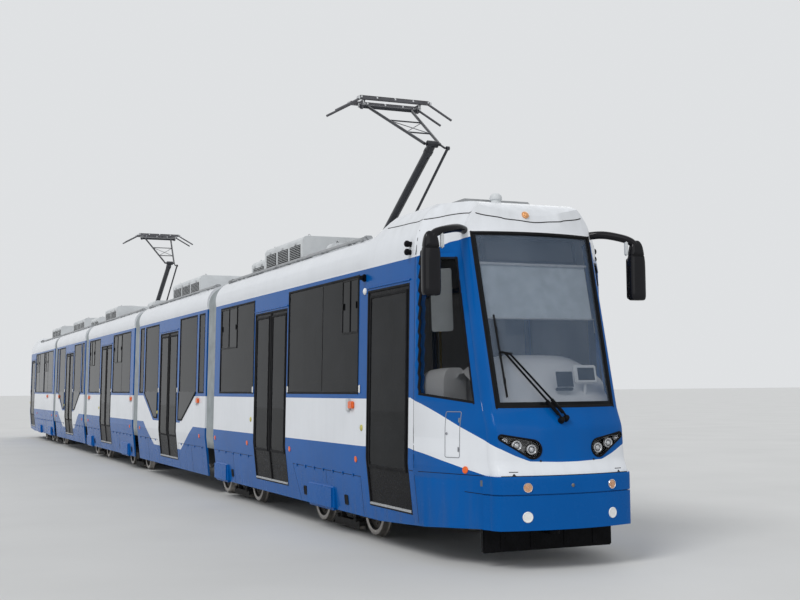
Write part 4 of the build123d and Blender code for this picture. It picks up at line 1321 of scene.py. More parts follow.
def add_clusters(end):
    """The two lamp clusters of the nose (1) or tail (-1): tray, rim, lamps and clear cover."""
    car, name = ("a", "head") if end > 0 else ("e", "tail")

    def tray(bm):
        for side in SIDES:
            rim = [on_front(y, z, end)[0] for y, z in hull_outline(side, 0.012)]
            middle = sum(rim, Vector()) / len(rim)
            rings = [[bm.verts.new(middle + (point - middle) * size - Vector((end * depth, 0, 0))) for point in rim]
                     for depth, size in ((0.002, 1), (0.05, 0.98), (0.06, 0.9))]
            join(bm, rings)
            bm.faces.new(rings[-1])

    def rims(bm):
        for side in SIDES:
            add_ribbon(bm, [on_front(y, z, end) for y, z in hull_outline(side, 0.008)], 0.018, 0.005)

    rings, lenses, bowls, small = (bmesh.new() for _ in range(4))
    for side in SIDES:
        for lens, (y, z, radius) in zip((lenses, lenses, small), LAMPS):
            point, normal = on_front(side * y, z, end)
            way = Vector((end, 0, 0)) * 0.55 + normal * 0.45
            if end > 0:
                add_round_lamp(rings, lens, bowls, point - normal * 0.020, way, radius)
            else:
                add_flat_lamp(rings, lens, bowls, point + normal * 0.001, normal, radius)
    if end > 0:
        build(name + "lamp_trays", car, "lamp_black", "lamp_black", tray, 40, ["headlamps"])
    build(name + "lamp_rims", car, "black", "lamp_black", rims)
    colour = "clear_lens" if end > 0 else "red_lens"
    # On the nose the rings also hold the projectors' glass, whose light silver is a painted highlight.
    for part, bm, finish in (("rings", rings, "silver"), ("lenses", lenses, colour), ("bowls", bowls, "lamp_black"),
                             ("indicators", small, colour if end > 0 else "orange")):
        place(new_object(f"{name}lamp_{part}", bm, FINISHES[finish], 50), car, "lamp_black")

    def cover(bm):
        for side in SIDES:
            outline = hull_outline(side, 0.010)
            y0 = sum(y for y, _ in outline) / len(outline)
            z0 = sum(z for _, z in outline) / len(outline)
            rings = []
            for shrink in (1.0, 0.75, 0.5, 0.25):
                found = [on_front(y0 + (y - y0) * shrink, z0 + (z - z0) * shrink, end) for y, z in outline]
                rings.append([bm.verts.new(point - normal * 0.001) for point, normal in found])
            join(bm, rings)
            bm.faces.new(rings[-1])

    if end > 0:
        build(name + "lamp_covers", car, "cover_glass", "window_glass", cover, 60)


def add_bumper_fittings(end):
    """Round lamps, white discs and the towing eye's plug in the bumper, and the joint over it."""
    car = "a" if end > 0 else "e"
    name = "front" if end > 0 else "rear"
    rings, lenses, bowls = (bmesh.new() for _ in range(3))
    for side in SIDES:
        point, normal = on_front(side * BUMPER_LAMP[0], BUMPER_LAMP[1], end)
        add_flat_lamp(rings, lenses, bowls, point + normal * 0.001, normal, BUMPER_LAMP[2])
    for part, bm, finish in (("rings", rings, "chrome"), ("bowls", bowls, "amber" if end > 0 else "chrome"),
                             ("lenses", lenses, "clear_lens" if end > 0 else "red_lens")):
        place(new_object(f"bumper_lamp_{part}_{name}", bm, FINISHES[finish], 50), car, "lamp_black")

    def discs(bm):
        for side in SIDES:
            y, z, r = BUMPER_DISC
            add_lathe(bm, surface(on_front(side * y, z, end)),
                      [(r, -0.004), (r, 0.004), (r - 0.006, 0.008), (r - 0.010, 0.006), (0.5 * r, 0.007),
                       (0, 0.0075)], 32)

    def plug(bm):
        add_lathe(bm, surface(on_front(0, 0.846, end)),
                  [(0.018, -0.004), (0.018, 0.004), (0.015, 0.006), (0.013, 0.001), (0.007, 0.001), (0.005, 0.005),
                   (0, 0.006)], 24)

    def joint(bm):
        add_ribbon(bm, front_path([(-0.80, BUMPER_TOP_Z + 0.002), (0.80, BUMPER_TOP_Z + 0.002)], end, closed=False),
                   0.010, 0.0015, closed=False)

    build("bumper_joint_" + name, car, "rubber", "door_black", joint, 0)
    build("bumper_discs_" + name, car, "white_lens", "lamp_black", discs)
    build("bumper_plug_" + name, car, "steel", "bogie_steel", plug)


# Wiper: pivots, arm tops and blade ends as (Y, height) on the nose
WIPER_PIVOTS = [(0.010, 1.507), (-0.048, 1.488)]
WIPER_TOPS = [(-0.500, 2.168), (-0.551, 2.179)]
WIPER_BLADE = [(-0.608, 2.582), (-0.580, 1.728)]


def add_wiper():
    """Two parallel arms, a carrier and a blade with its rubber edge."""
    def above(y, z, height):
        point, normal = on_front(y, z)
        return point + normal * height

    def arms(bm):
        for (y0, z0), (y1, z1) in zip(WIPER_PIVOTS, WIPER_TOPS):
            add_lathe(bm, surface(on_front(y0, z0)), [(0.034, -0.01), (0.034, 0.02), (0.028, 0.045), (0.022, 0.055),
                                                      (0.010, 0.060), (0, 0.061)], 20)
            start, end = above(y0, z0, 0.045), above(y1, z1, 0.050)
            add_pipe(bm, smooth_path([start, start * 0.8 + end * 0.2 + Vector((0.012, 0, 0)), end], 5), 0.011, 8)
            add_pipe(bm, [start * 0.93 + end * 0.07, start * 0.72 + end * 0.28 + Vector((0.010, 0, 0))], 0.018, 8)
        tops = [above(y, z, 0.050) for y, z in WIPER_TOPS]
        add_pipe(bm, [tops[0] * 1.4 - tops[1] * 0.4, tops[1] * 2.1 - tops[0] * 1.1], 0.012, 8)

    def blade(bm):
        (y0, z0), (y1, z1) = WIPER_BLADE
        steps = 16
        line = [(y0 + (y1 - y0) * k / steps, z0 + (z1 - z0) * k / steps) for k in range(steps + 1)]
        path = [on_front(y, z) for y, z in line]
        add_ribbon(bm, [(p + n * 0.008, n) for p, n in path], 0.008, 0.022, closed=False, depth=0.006)
        add_ribbon(bm, [(p + n * 0.030, n) for p, n in path], 0.020, 0.008, closed=False, depth=0.002)
        for k in (3, 8, 13):
            add_box(bm, surface(path[k], 0.036), (0.026, 0.07, 0.016), 0.005)

    build("wiper_arms", "a", "black", "mirror_black", arms)
    build("wiper_blade", "a", "rubber", "mirror_black", blade)


def add_nose_details():
    """Hatch on the right side, a dark line across the dome, lifting marks, and horn, beacon and covers on the dome.
    """
    def hatch(bm):
        corners = rounded([(0.70, 1.115), (0.885, 1.115), (0.885, 1.587), (0.70, 1.587)], 0.02)
        add_ribbon(bm, side_path("a", corners, -1, step=0.05), 0.008, 0.003)
        for z in (1.2, 1.5):
            add_box(bm, surface(on_side("a", 0.715, z), 0.004), (0.018, 0.05, 0.010), 0.004)
        add_lathe(bm, surface(on_side("a", 0.865, 1.36)),
                  [(0.014, -0.002), (0.014, 0.005), (0.008, 0.007), (0, 0.007)], 16)

    def horn(bm):
        place_at = matrix_at(on_roof("a", 1.10, -0.26)[0], (0, 0, 1), (1, 0, 0))
        add_lathe(bm, place_at, [(0.075, -0.01), (0.075, 0.008), (0.055, 0.016), (0.055, 0.035), (0.066, 0.045),
                                 (0.070, 0.065), (0.062, 0.092), (0.040, 0.112), (0, 0.120)], 28)

    def cover(bm):
        for s, length, y0, y1, height in ((1.52, 0.62, -0.60, 0.24, 0.075), (2.1, 0.3, -0.35, 0.35, 0.05)):
            point, _ = on_roof("a", s, 0.0)
            place_at = move((at(s), 0.5 * (y0 + y1), point.z + height / 2 - 0.01))
            add_box(bm, place_at, (length, y1 - y0, height), 0.018, 3)
            for n in range(6):
                x = length * (0.08 * n - 0.2)
                y = (y1 - y0) / 2 - 0.08
                add_pipe(bm, [place_at @ Vector((x, side * y, height / 2)) for side in SIDES], 0.005, 6)

    def beacon(bm):
        add_lathe(bm, surface(on_front(-0.10, 3.686)),
                  [(0.042, -0.01), (0.042, 0.008), (0.034, 0.012), (0.031, 0.020), (0.020, 0.028), (0, 0.031)], 24)

    # A dark line laid across the dome along a curve through the listed points.
    def dome_line(bm):
        half = [(0.707, 0, 3.606), (0.713, 0.08, 3.610), (0.723, 0.171, 3.620), (0.742, 0.337, 3.634),
                (0.756, 0.395, 3.648), (0.803, 0.587, 3.677), (0.943, 0.719, 3.704), (1.078, 0.833, 3.697),
                (1.208, 0.951, 3.676), (1.382, 1.052, 3.662), (1.67, 1.044, 3.672), (1.971, 1.037, 3.683),
                (2.36, 1.022, 3.704)]
        for side in SIDES:
            path = smooth_path([(at(s), side * y, z) for s, y, z in half], 8)
            found = [SKIN["a"].find_nearest(point) for point in path]
            add_ribbon(bm, [(point, normal) for point, normal, _, _ in found], 0.011, 0.003, closed=False)

    def marks(bm):
        for side in SIDES:
            for corners in ([(-0.045, 0.985), (0.045, 0.985), (0.045, 0.992), (-0.045, 0.992)],
                            [(-0.020, 0.953), (0.020, 0.953), (0, 0.975)]):
                found = [on_front(side * 0.615 + y, z) for y, z in corners]
                bm.faces.new([bm.verts.new(point + normal * 0.0012) for point, normal in found])
            add_lathe(bm, surface(on_front(side * 0.312, 1.092)), [(0.010, -0.002), (0.010, 0.004), (0.006, 0.006),
                                                                   (0, 0.006)], 14)

    build("nose_hatch", "a", "seam", "body_paint", hatch)
    build("horn", "a", "roof_box", "roof_grey", horn)
    build("dome_line", "a", "rubber", "body_paint", dome_line, 0)
    build("lifting_marks", "a", "rubber", "door_black", marks)
    build("dome_covers", "a", "conduit", "roof_grey", cover)
    build("beacon", "a", "amber", "lamp_black", beacon)


# Middle of a mirror: S, distance from the tram's middle, height
MIRROR_S, MIRROR_Y, MIRROR_Z = 0.66, 1.26, 3.030
GUARD_S, GUARD_HALF, GUARD_Z = 0.52, 0.77, 0.15
TOW_S, TOW_Z = 0.43, 0.34


def add_cab_frame():
    """Guard plate below the nose with its towing lug, the desk's cupboard and the frame of the driver's seat."""
    def guard(bm):
        middle = 0.5 * (GUARD_Z + BUMPER_Z)
        add_box(bm, move((at(GUARD_S + 0.03), 0, middle)), (0.06, 2 * GUARD_HALF, BUMPER_Z - GUARD_Z), 0.012, 2)
        for y in (-0.55, -0.2, 0.2, 0.55):
            add_box(bm, move((at(GUARD_S - 0.004), y, middle)), (0.012, 0.05, 0.2), 0.004, 1)
        for y in (-0.34, 0.34):
            add_box(bm, move((at(GUARD_S + 0.25), y, 0.57)), (0.42, 0.08, 0.54), 0.01, 1)
        add_box(bm, move((at(0.5 * (TOW_S + GUARD_S)), 0, TOW_Z)), (GUARD_S - TOW_S + 0.02, 0.14, 0.04), 0.01, 2)
        add_lathe(bm, move((at(TOW_S), 0, TOW_Z - 0.02)),
                  [(0.022, 0.0), (0.066, 0.0), (0.070, 0.004), (0.070, 0.036), (0.066, 0.040), (0.022, 0.040),
                   (0.022, 0.0)], 28)

    def cupboard(bm):
        add_box(bm, move((at(0.70), 0, 1.23)), (0.34, 1.20, 0.66), 0.02, 2)
        for y in (-0.4, 0, 0.4):
            add_box(bm, move((at(0.872), y, 1.22)), (0.012, 0.37, 0.56), 0.004, 1)

    def seat(bm):
        foot = move((at(1.16), 0.10, 0.9))
        add_lathe(bm, foot, [(0.20, 0.0), (0.20, 0.02), (0.075, 0.05), (0.06, 0.12), (0.06, 0.36), (0.16, 0.40),
                             (0, 0.40)], 24)
        add_box(bm, move((at(1.17), 0.10, 1.325)), (0.46, 0.50, 0.06), 0.02, 2)
        add_box(bm, matrix_at((at(1.43), 0.10, 1.66), (1, 0, 0.1)), (0.48, 0.66, 0.03), 0.014, 2)
        add_pipe(bm, [(at(1.45), 0.10, 1.9), (at(1.47), 0.10, 2.08)], 0.02, 10)

    build("guard_plate", "a", "black", "bogie_steel", guard, replaced=["cab"])
    build("desk_cupboard", "a", "dash", "interior_grey", cupboard)
    build("driver_seat_frame", "a", "black", "interior_grey", seat)


def add_mirrors():
    """Rear-view mirrors with a rounded body, a cap and a bent arm from the roof's edge."""
    levels = [(-0.245, 0.70), (-0.240, 0.84), (-0.225, 0.94), (-0.20, 0.99), (-0.16, 1.0), (0.12, 1.0),
              (0.19, 0.98), (0.235, 0.93), (0.25, 0.90), (0.252, 0.86), (0.262, 0.86), (0.265, 0.89), (0.30, 0.85),
              (0.35, 0.76), (0.385, 0.64), (0.41, 0.48), (0.423, 0.30)]

    def fill(bm):
        for side in SIDES:
            rings = []
            for z, size in levels:
                ring = []
                for k in range(28):
                    angle = 2 * pi * k / 28
                    c, s = cos(angle), sin(angle)
                    x = 0.058 * size * abs(c) ** 0.5 * (1 if c > 0 else -1)
                    y = 0.100 * size * abs(s) ** 0.5 * (1 if s > 0 else -1)
                    ring.append(bm.verts.new((at(MIRROR_S) + x, side * MIRROR_Y + y, MIRROR_Z + z)))
                rings.append(ring)
            join(bm, rings, caps=True)
            start = Vector((at(MIRROR_S), side * MIRROR_Y, MIRROR_Z + 0.34))
            path = [start, (at(MIRROR_S + 0.01), side * (MIRROR_Y - 0.06), MIRROR_Z + 0.41),
                    (at(MIRROR_S + 0.04), side * (MIRROR_Y - 0.20), 3.485),
                    (at(MIRROR_S + 0.12), side * (MIRROR_Y - 0.38), 3.515),
                    (at(MIRROR_S + 0.26), side * (MIRROR_Y - 0.56), 3.50)]
            add_pipe(bm, smooth_path(path, 7), 0.044, 18)

    build("mirror_bodies", "a", "mirror", "mirror_black", fill, 40, ["mirrors"])


# Covers over the bogie ends in the skirts: car, front S, rear S
COVERS = [("a", 3.85, 4.85), ("a", 8.95, 9.76), ("c", 17.75, 18.75), ("c", 23.1, 23.96), ("e", 31.95, 32.95),
          ("e", 34.85, 35.85)]
# Windows that reach down below the others beside the low floor: outline in S, and the sides that have it
DEEP_Z, DEEP_TOP_Z = 1.26, 1.80
DEEP_PANES = [(car, side, [(s + shift, z) for s, z in zip(outline, (DEEP_TOP_Z, DEEP_Z, DEEP_Z, DEEP_TOP_Z))])
              for shift, car in ((0, "b"), (SECOND_DIP, "d"))
              for outline, sides in (((12.51, 12.51, 12.22, 11.15), SIDES), ((14.49, 14.49, 14.78, 15.85), SIDES),
                                     ((12.7, 12.7, 14.3, 14.3), (1,)))
              for side in sides]


def add_side_forms(car):
    """Skirt covers, and the deep ends of the windows beside the low floor."""
    def covers(bm):
        for s0, s1 in own(COVERS, car):
            for side in SIDES:
                add_box(bm, move((at(0.5 * (s0 + s1)), side * 1.14, 0.46)), (s1 - s0, 0.11, 0.32), 0.035, 3)

    def panes(bm):
        for side, corners in own(DEEP_PANES, car):
            found = [on_side(car, s, z, side) for s, z in rounded(corners, 0.03, 4)]
            rings = [[bm.verts.new(point + normal * height) for point, normal in found]
                     for height in (-0.01, 0.0125)]
            bm.faces.new(rings[1])
            join(bm, rings)

    def seals(bm):
        for side, ((s0, _), low_1, low_2, (s1, _)) in own(DEEP_PANES, car):
            strip(bm, car, [(s0, 1.775), low_1, low_2, (s1, 1.775)], 0.034, 0.016, side)

    build("skirt_covers_" + car, car, "bumper", "body_paint", covers)
    build("deep_panes_" + car, car, "dark_pane", "window_glass", panes)
    build("deep_pane_seals_" + car, car, "rubber", "door_black", seals)


def add_mirror_details():
    """Glass, rims and brackets of the mirrors, and the cameras and white lamp on the sides of the cab."""
    faces = [(side, matrix_at((at(MIRROR_S) - 0.055, side * MIRROR_Y, MIRROR_Z), (-1, 0, 0))) for side in SIDES]

    def glass_plates(bm):
        for _, face in faces:
            add_box(bm, face, (0.165, 0.44, 0.006), 0.002)

    def rims(bm):
        for side, face in faces:
            rim = rectangle(0.088, 0.225, 0.03)
            add_ribbon(bm, [(face @ Vector((x, y, 0)), Vector((-1, 0, 0))) for x, y in rim], 0.014, 0.008)
            for z in (0.247, 0.262):
                centre = Vector((at(MIRROR_S), side * MIRROR_Y, MIRROR_Z + z))
                ring = rectangle(0.05, 0.075, 0.02)
                add_pipe(bm, [centre + Vector((x, y, 0)) for x, y in ring], 0.006, 6, closed=True)

    def brackets(bm):
        for side in SIDES:
            top = Vector((at(MIRROR_S), side * (MIRROR_Y - 0.13), MIRROR_Z + 0.33))
            add_box(bm, move(top), (0.05, 0.035, 0.16), 0.012, 3)

    def eyes(bm):
        for side in SIDES:
            point, normal = on_side("a", 1.42, 3.36, side)
            for z in (-0.045, 0.045):
                add_lathe(bm, matrix_at(point + Vector((0, 0, z)), normal),
                          [(0.03, -0.01), (0.03, 0.02), (0.038, 0.04), (0.034, 0.062), (0.018, 0.074), (0, 0.076)],
                          20)

    def camera(bm):
        point, normal = on_side("a", 2.75, 3.15)
        add_box(bm, surface((point, normal), 0.02), (0.05, 0.09, 0.05), 0.012, 3)
        add_lathe(bm, matrix_at(point + normal * 0.045, (0.6, -0.8, 0)),
                  [(0.028, -0.02), (0.028, 0.03), (0.022, 0.034), (0, 0.03)], 20)

    def lamp(bm):
        add_lathe(bm, surface(on_side("a", 2.75, 2.99)),
                  [(0.042, -0.004), (0.042, 0.012), (0.034, 0.02), (0.018, 0.028), (0, 0.03)], 24)

    build("mirror_glass", "a", "chrome", "mirror_black", glass_plates)
    build("mirror_rims", "a", "rubber", "mirror_black", rims)
    build("mirror_brackets", "a", "roof_box", "roof_grey", brackets)
    build("cab_cameras", "a", "black", "mirror_black", eyes)
    build("side_camera", "a", "black", "mirror_black", camera)
    build("side_white_lamp", "a", "white_lens", "lamp_black", lamp)


# Cab and saloon


def inside_front(y, z, depth):
    """A point behind the windscreen."""
    return on_front(y, z)[0] - Vector((depth, 0, 0))


def add_dash(end=1):
    """Moulded white desk across the cab, from the windscreen's foot to the driver."""
    car = "a" if end > 0 else "e"
    profile = [(0.34, 1.60), (0.36, 1.675), (0.46, 1.76), (0.62, 1.98), (0.76, 2.13), (0.86, 2.18), (0.95, 2.15),
               (1.0, 2.05), (1.02, 1.66), (0.96, 1.60), (0.90, 1.565)]

    def fill(bm):
        rings = []
        steps = 18
        for k in range(steps + 1):
            y = -0.80 + 1.60 * k / steps
            bow = 0.10 * (abs(y) / 0.8) ** 2
            low = 0.22 * (abs(y) / 0.8) ** 4
            rings.append([bm.verts.new((end * at(s + bow), y, z - low * ramp_of(s, 0.5, 0.9))) for s, z in profile])
        join(bm, rings, closed=False)

    build("dash_" + car, car, "dash", "interior_grey", fill, 35)


def add_console():
    """Moulded white shelf beside the driver, seen through the cab's right window."""
    def fill(bm):
        rings = []
        steps = 12
        for k in range(steps + 1):
            s = 1.04 + 0.84 * k / steps
            top = 2.05 - 0.34 * (k / steps) ** 2
            edge = on_side("a", s, 1.95)[0].y + 0.09
            ring = [(edge, 1.62), (edge, top - 0.12), (edge + 0.025, top - 0.04), (edge + 0.08, top),
                    (edge + 0.20, top), (edge + 0.25, top - 0.04), (edge + 0.27, top - 0.12), (edge + 0.27, 1.62)]
            rings.append([bm.verts.new((at(s), y, z)) for y, z in ring])
        join(bm, rings, caps=True)

    build("side_console", "a", "dash", "interior_grey", fill, 50)


def add_cab_details():
    """Destination display, screen and notice, all blank, the driver's controls, and the side windows' visors."""
    def display(bm):
        place_at = matrix_at((at(0.86), 0, 3.30), (1, 0, 0.26))
        add_box(bm, place_at, (1.16, 0.30, 0.06), 0.012, 3)
        outline = rectangle(0.55, 0.125, 0.02)
        normal = place_at.to_3x3() @ Vector((0, 0, 1))
        add_ribbon(bm, [(place_at @ Vector((x, y, 0.03)), normal) for x, y in outline], 0.02, 0.008)

    def dots(bm):
        place_at = matrix_at((at(0.86) + 0.031, 0, 3.308), (1, 0, 0.26))
        add_box(bm, place_at, (1.07, 0.225, 0.003), 0.001, 1)

    def behind_glass(y, z):
        return matrix_at(inside_front(y, z, 0.13), (1, 0, 0.22))

    def screen(bm):
        place_at = behind_glass(0.455, 1.965)
        add_box(bm, place_at, (0.275, 0.20, 0.05), 0.014, 3)
        add_pipe(bm, [place_at @ Vector((0, -0.09, -0.02)), place_at @ Vector((0, -0.24, -0.06))], 0.018, 10)

    def screen_face(bm):
        add_box(bm, behind_glass(0.455, 1.965) @ move((0, 0, 0.0265)), (0.205, 0.135, 0.004), 0.002, 1)

    def notice(bm):
        place_at = behind_glass(0.175, 1.915)
        add_box(bm, place_at, (0.20, 0.165, 0.006), 0.002, 1)
        add_box(bm, place_at @ move((0, -0.10, -0.03)), (0.2, 0.03, 0.05), 0.008)

    def controls(bm):
        for y in (-0.34, 0.36):
            foot = Vector((at(0.97), y, 2.0))
            add_pipe(bm, smooth_path([foot, foot + Vector((-0.03, 0, 0.07)), foot + Vector((-0.05, 0, 0.13))], 4),
                     0.012, 8)
            add_lathe(bm, matrix_at(foot + Vector((-0.05, 0, 0.15)), (0, 0, 1), (1, 0, 0)),
                      [(0.0, -0.03), (0.022, -0.022), (0.028, 0), (0.022, 0.022), (0, 0.03)], 16)

    def visors(bm):
        for side in SIDES:
            outline = rounded([(0.90, 2.44), (1.13, 2.44), (1.17, 3.12), (0.98, 3.12)], 0.03, 4)
            found = [on_side("a", s, z, side) for s, z in outline]
            rings = [[bm.verts.new(point - normal * depth) for point, normal in found] for depth in (0.060, 0.055)]
            for ring in rings:
                bm.faces.new(ring)
            join(bm, rings)

    build("side_visors", "a", "visor", "interior_grey", visors)
    build("display_box", "a", "black", "door_black", display)
    build("display_dots", "a", "display", "door_black", dots)
    build("desk_screen", "a", "dash", "interior_grey", screen)
    build("desk_screen_face", "a", "black", "door_black", screen_face)
    build("desk_notice", "a", "black", "door_black", notice)
    build("desk_controls", "a", "black", "door_black", controls)


# Sun blind: half its width, height of its roller, height of its lower edge, rows of its mesh
BLIND = (0.64, 3.14, 2.56)
BLIND_ROWS = 12


def add_blind():
    """A roller blind behind the windscreen, half down, and its bars."""
    half, top, low = BLIND

    def place_of(y, z):
        centre = on_front(0.62, z)[0]
        return Vector((centre.x - 0.07, y, z))

    def sheet(bm):
        rows, columns = BLIND_ROWS, 16
        grid = []
        for k in range(rows + 1):
            z = top + (low - top) * k / rows
            ys = [-half + 2 * half * n / columns for n in range(columns + 1)]
            grid.append([bm.verts.new(place_of(y, z) + Vector((0.003 * sin(9 * y) * k / rows, 0, 0))) for y in ys])
        join(bm, grid, closed=False)

    def bars(bm):
        for z, radius in ((top + 0.01, 0.022), (low, 0.009)):
            add_pipe(bm, [place_of(y, z) for y in (-half - 0.02, -half, half, half + 0.02)], radius, 12)

    cloth = build("sun_blind", "a", "blind", "interior_grey", sheet, 60)
    build("sun_blind_bars", "a", "aluminium", "interior_grey", bars)
    line = [place_of(0, top + (low - top) * k / BLIND_ROWS) for k in range(BLIND_ROWS + 1)]


# Seats: car, S of the first row, rows
SEATS = [("a", 3.2, 3), ("a", 7.8, 2), ("b", 10.9, 1), ("b", 15.6, 1), ("c", 17.9, 2), ("c", 22.5, 1),
         ("d", 25.1, 1), ("d", 29.8, 1), ("e", 32.1, 6)]
SEAT_PITCH, SEAT_FLOOR_Z = 0.8, 0.9
# Places across the tram: middle, width
SEAT_PLACES = [(0.915, 0.40), (0.485, 0.40), (-0.86, 0.40)]


def add_pad(bm, matrix, width, length, thick):
    """A crowned cushion whose sides pull in between its corners, with a seam round it."""
    steps = 8
    layers = {}
    for level in SIDES:
        for i in range(steps + 1):
            for j in range(steps + 1):
                u, v = 2 * i / steps - 1, 2 * j / steps - 1
                crown = (1 - u ** 4) * (1 - v ** 4)
                pull = 1 - 0.03 * (1 - (u * v) ** 2)
                z = level * thick * (0.12 + 0.38 * crown ** 0.5) if level > 0 else -thick * 0.35 * min(1, 3 * crown)
                rim = abs(u) == 1 or abs(v) == 1
                key = (i, j, 0 if rim else level)
                if key not in layers:
                    layers[key] = bm.verts.new(matrix @ Vector((u * width / 2 * pull, v * length / 2 * pull, 0
                                                                if rim else z)))
    for level in SIDES:
        for i in range(steps):
            for j in range(steps):
                quad = []
                for a, b in ((i, j), (i + 1, j), (i + 1, j + 1), (i, j + 1)):
                    rim = a in (0, steps) or b in (0, steps)
                    quad.append(layers[(a, b, 0 if rim else level)])
                bm.faces.new(quad if level > 0 else quad[::-1])
    rim = [matrix @ Vector((x * width / 2 * 0.985, y * length / 2 * 0.985, 0)) for x, y in
           ((-1, -1), (0, -0.985), (1, -1), (0.985, 0), (1, 1), (0, 0.985), (-1, 1), (-0.985, 0))]
    add_pipe(bm, rim, 0.006, 6, closed=True)


def add_seats(car):
    """Fabric pads on every seat, a grab handle on each back, and poles from floor to ceiling."""
    rows = [s + k * SEAT_PITCH for s, count in own(SEATS, car) for k in range(count)]
    z = SEAT_FLOOR_Z

    def pads(bm):
        for s in rows:
            for y, width in SEAT_PLACES:
                add_pad(bm, move((at(s + 0.21), y, z + 0.485)) @ rotated(pi / 2, "Z"), width, 0.40, 0.06)
                back = matrix_at((at(s + 0.425), y, z + 0.74), (1, 0, 0))
                add_pad(bm, back, width, 0.44, 0.06)

    def handles(bm):
        for s in rows:
            x = at(s + 0.455)
            for y, width in ((0.70, 0.84), (-0.86, 0.40)):
                ends = [(x, y - width / 2 + 0.03, z + 0.96), (x, y - width / 2 + 0.05, z + 1.03),
                        (x, y + width / 2 - 0.05, z + 1.03), (x, y + width / 2 - 0.03, z + 0.96)]
                add_pipe(bm, smooth_path(ends, 4), 0.014, 8)
            add_pipe(bm, [(x, 0.255, z + 0.9), (x, 0.25, z + 1.5), (x, 0.25, 3.5)], 0.016, 8)

    build("seat_pads_" + car, car, "fabric", "interior_grey", pads, 50)
    build("seat_handles_" + car, car, "pole", "interior_grey", handles)


def add_driver_seat():
    """Pads of the driver's seat: cushion, back and headrest."""
    def pads(bm):
        add_pad(bm, move((at(1.16), 0.10, 1.385)) @ rotated(pi / 2, "Z"), 0.46, 0.42, 0.09)
        add_pad(bm, matrix_at((at(1.385), 0.10, 1.66), (1, 0, 0.1)), 0.46, 0.52, 0.08)
        add_pad(bm, matrix_at((at(1.42), 0.10, 2.0), (1, 0, 0.1)), 0.26, 0.16, 0.07)

    build("driver_seat_pads", "a", "fabric", "interior_grey", pads, 50)


# Roof

SHELL_TREES = {car: skin_tree(["shell_" + car]) for car in CARS}
# Car, front S, rear S, right Y, left Y, height
ROOF_BOXES = [("a", 5.75, 5.95, -0.5, 0.5, 0.26), ("a", 6.15, 8.05, -0.8, 0.8, 0.4),
              ("a", 8.35, 9.15, -0.7, 0.3, 0.3), ("b", 12.4, 14.8, -0.8, 0.8, 0.38),
              ("b", 15.2, 16.0, -0.45, 0.45, 0.18), ("c", 17.7, 18.4, -0.6, 0.6, 0.19),
              ("c", 21.6, 23.4, -0.8, 0.8, 0.38), ("d", 25.2, 26.6, -0.7, 0.7, 0.3),
              ("d", 27.2, 29.6, -0.8, 0.8, 0.38), ("e", 32.6, 35.0, -0.8, 0.8, 0.4),
              ("e", 35.6, 36.5, -0.6, 0.6, 0.25)]
BOX_ROUND = 0.08
SLAT_PITCH = 0.026
# Fans stand on boxes at least this high
FAN_BOX_HEIGHT, FAN_R = 0.37, 0.29


def on_roof_skin(car, s, y):
    """A point on a car's roof, below any box that stands there."""
    return SHELL_TREES[car].ray_cast(Vector((at(s), y, OVERHEAD_Z)), Vector((0, 0, -1)))[0]


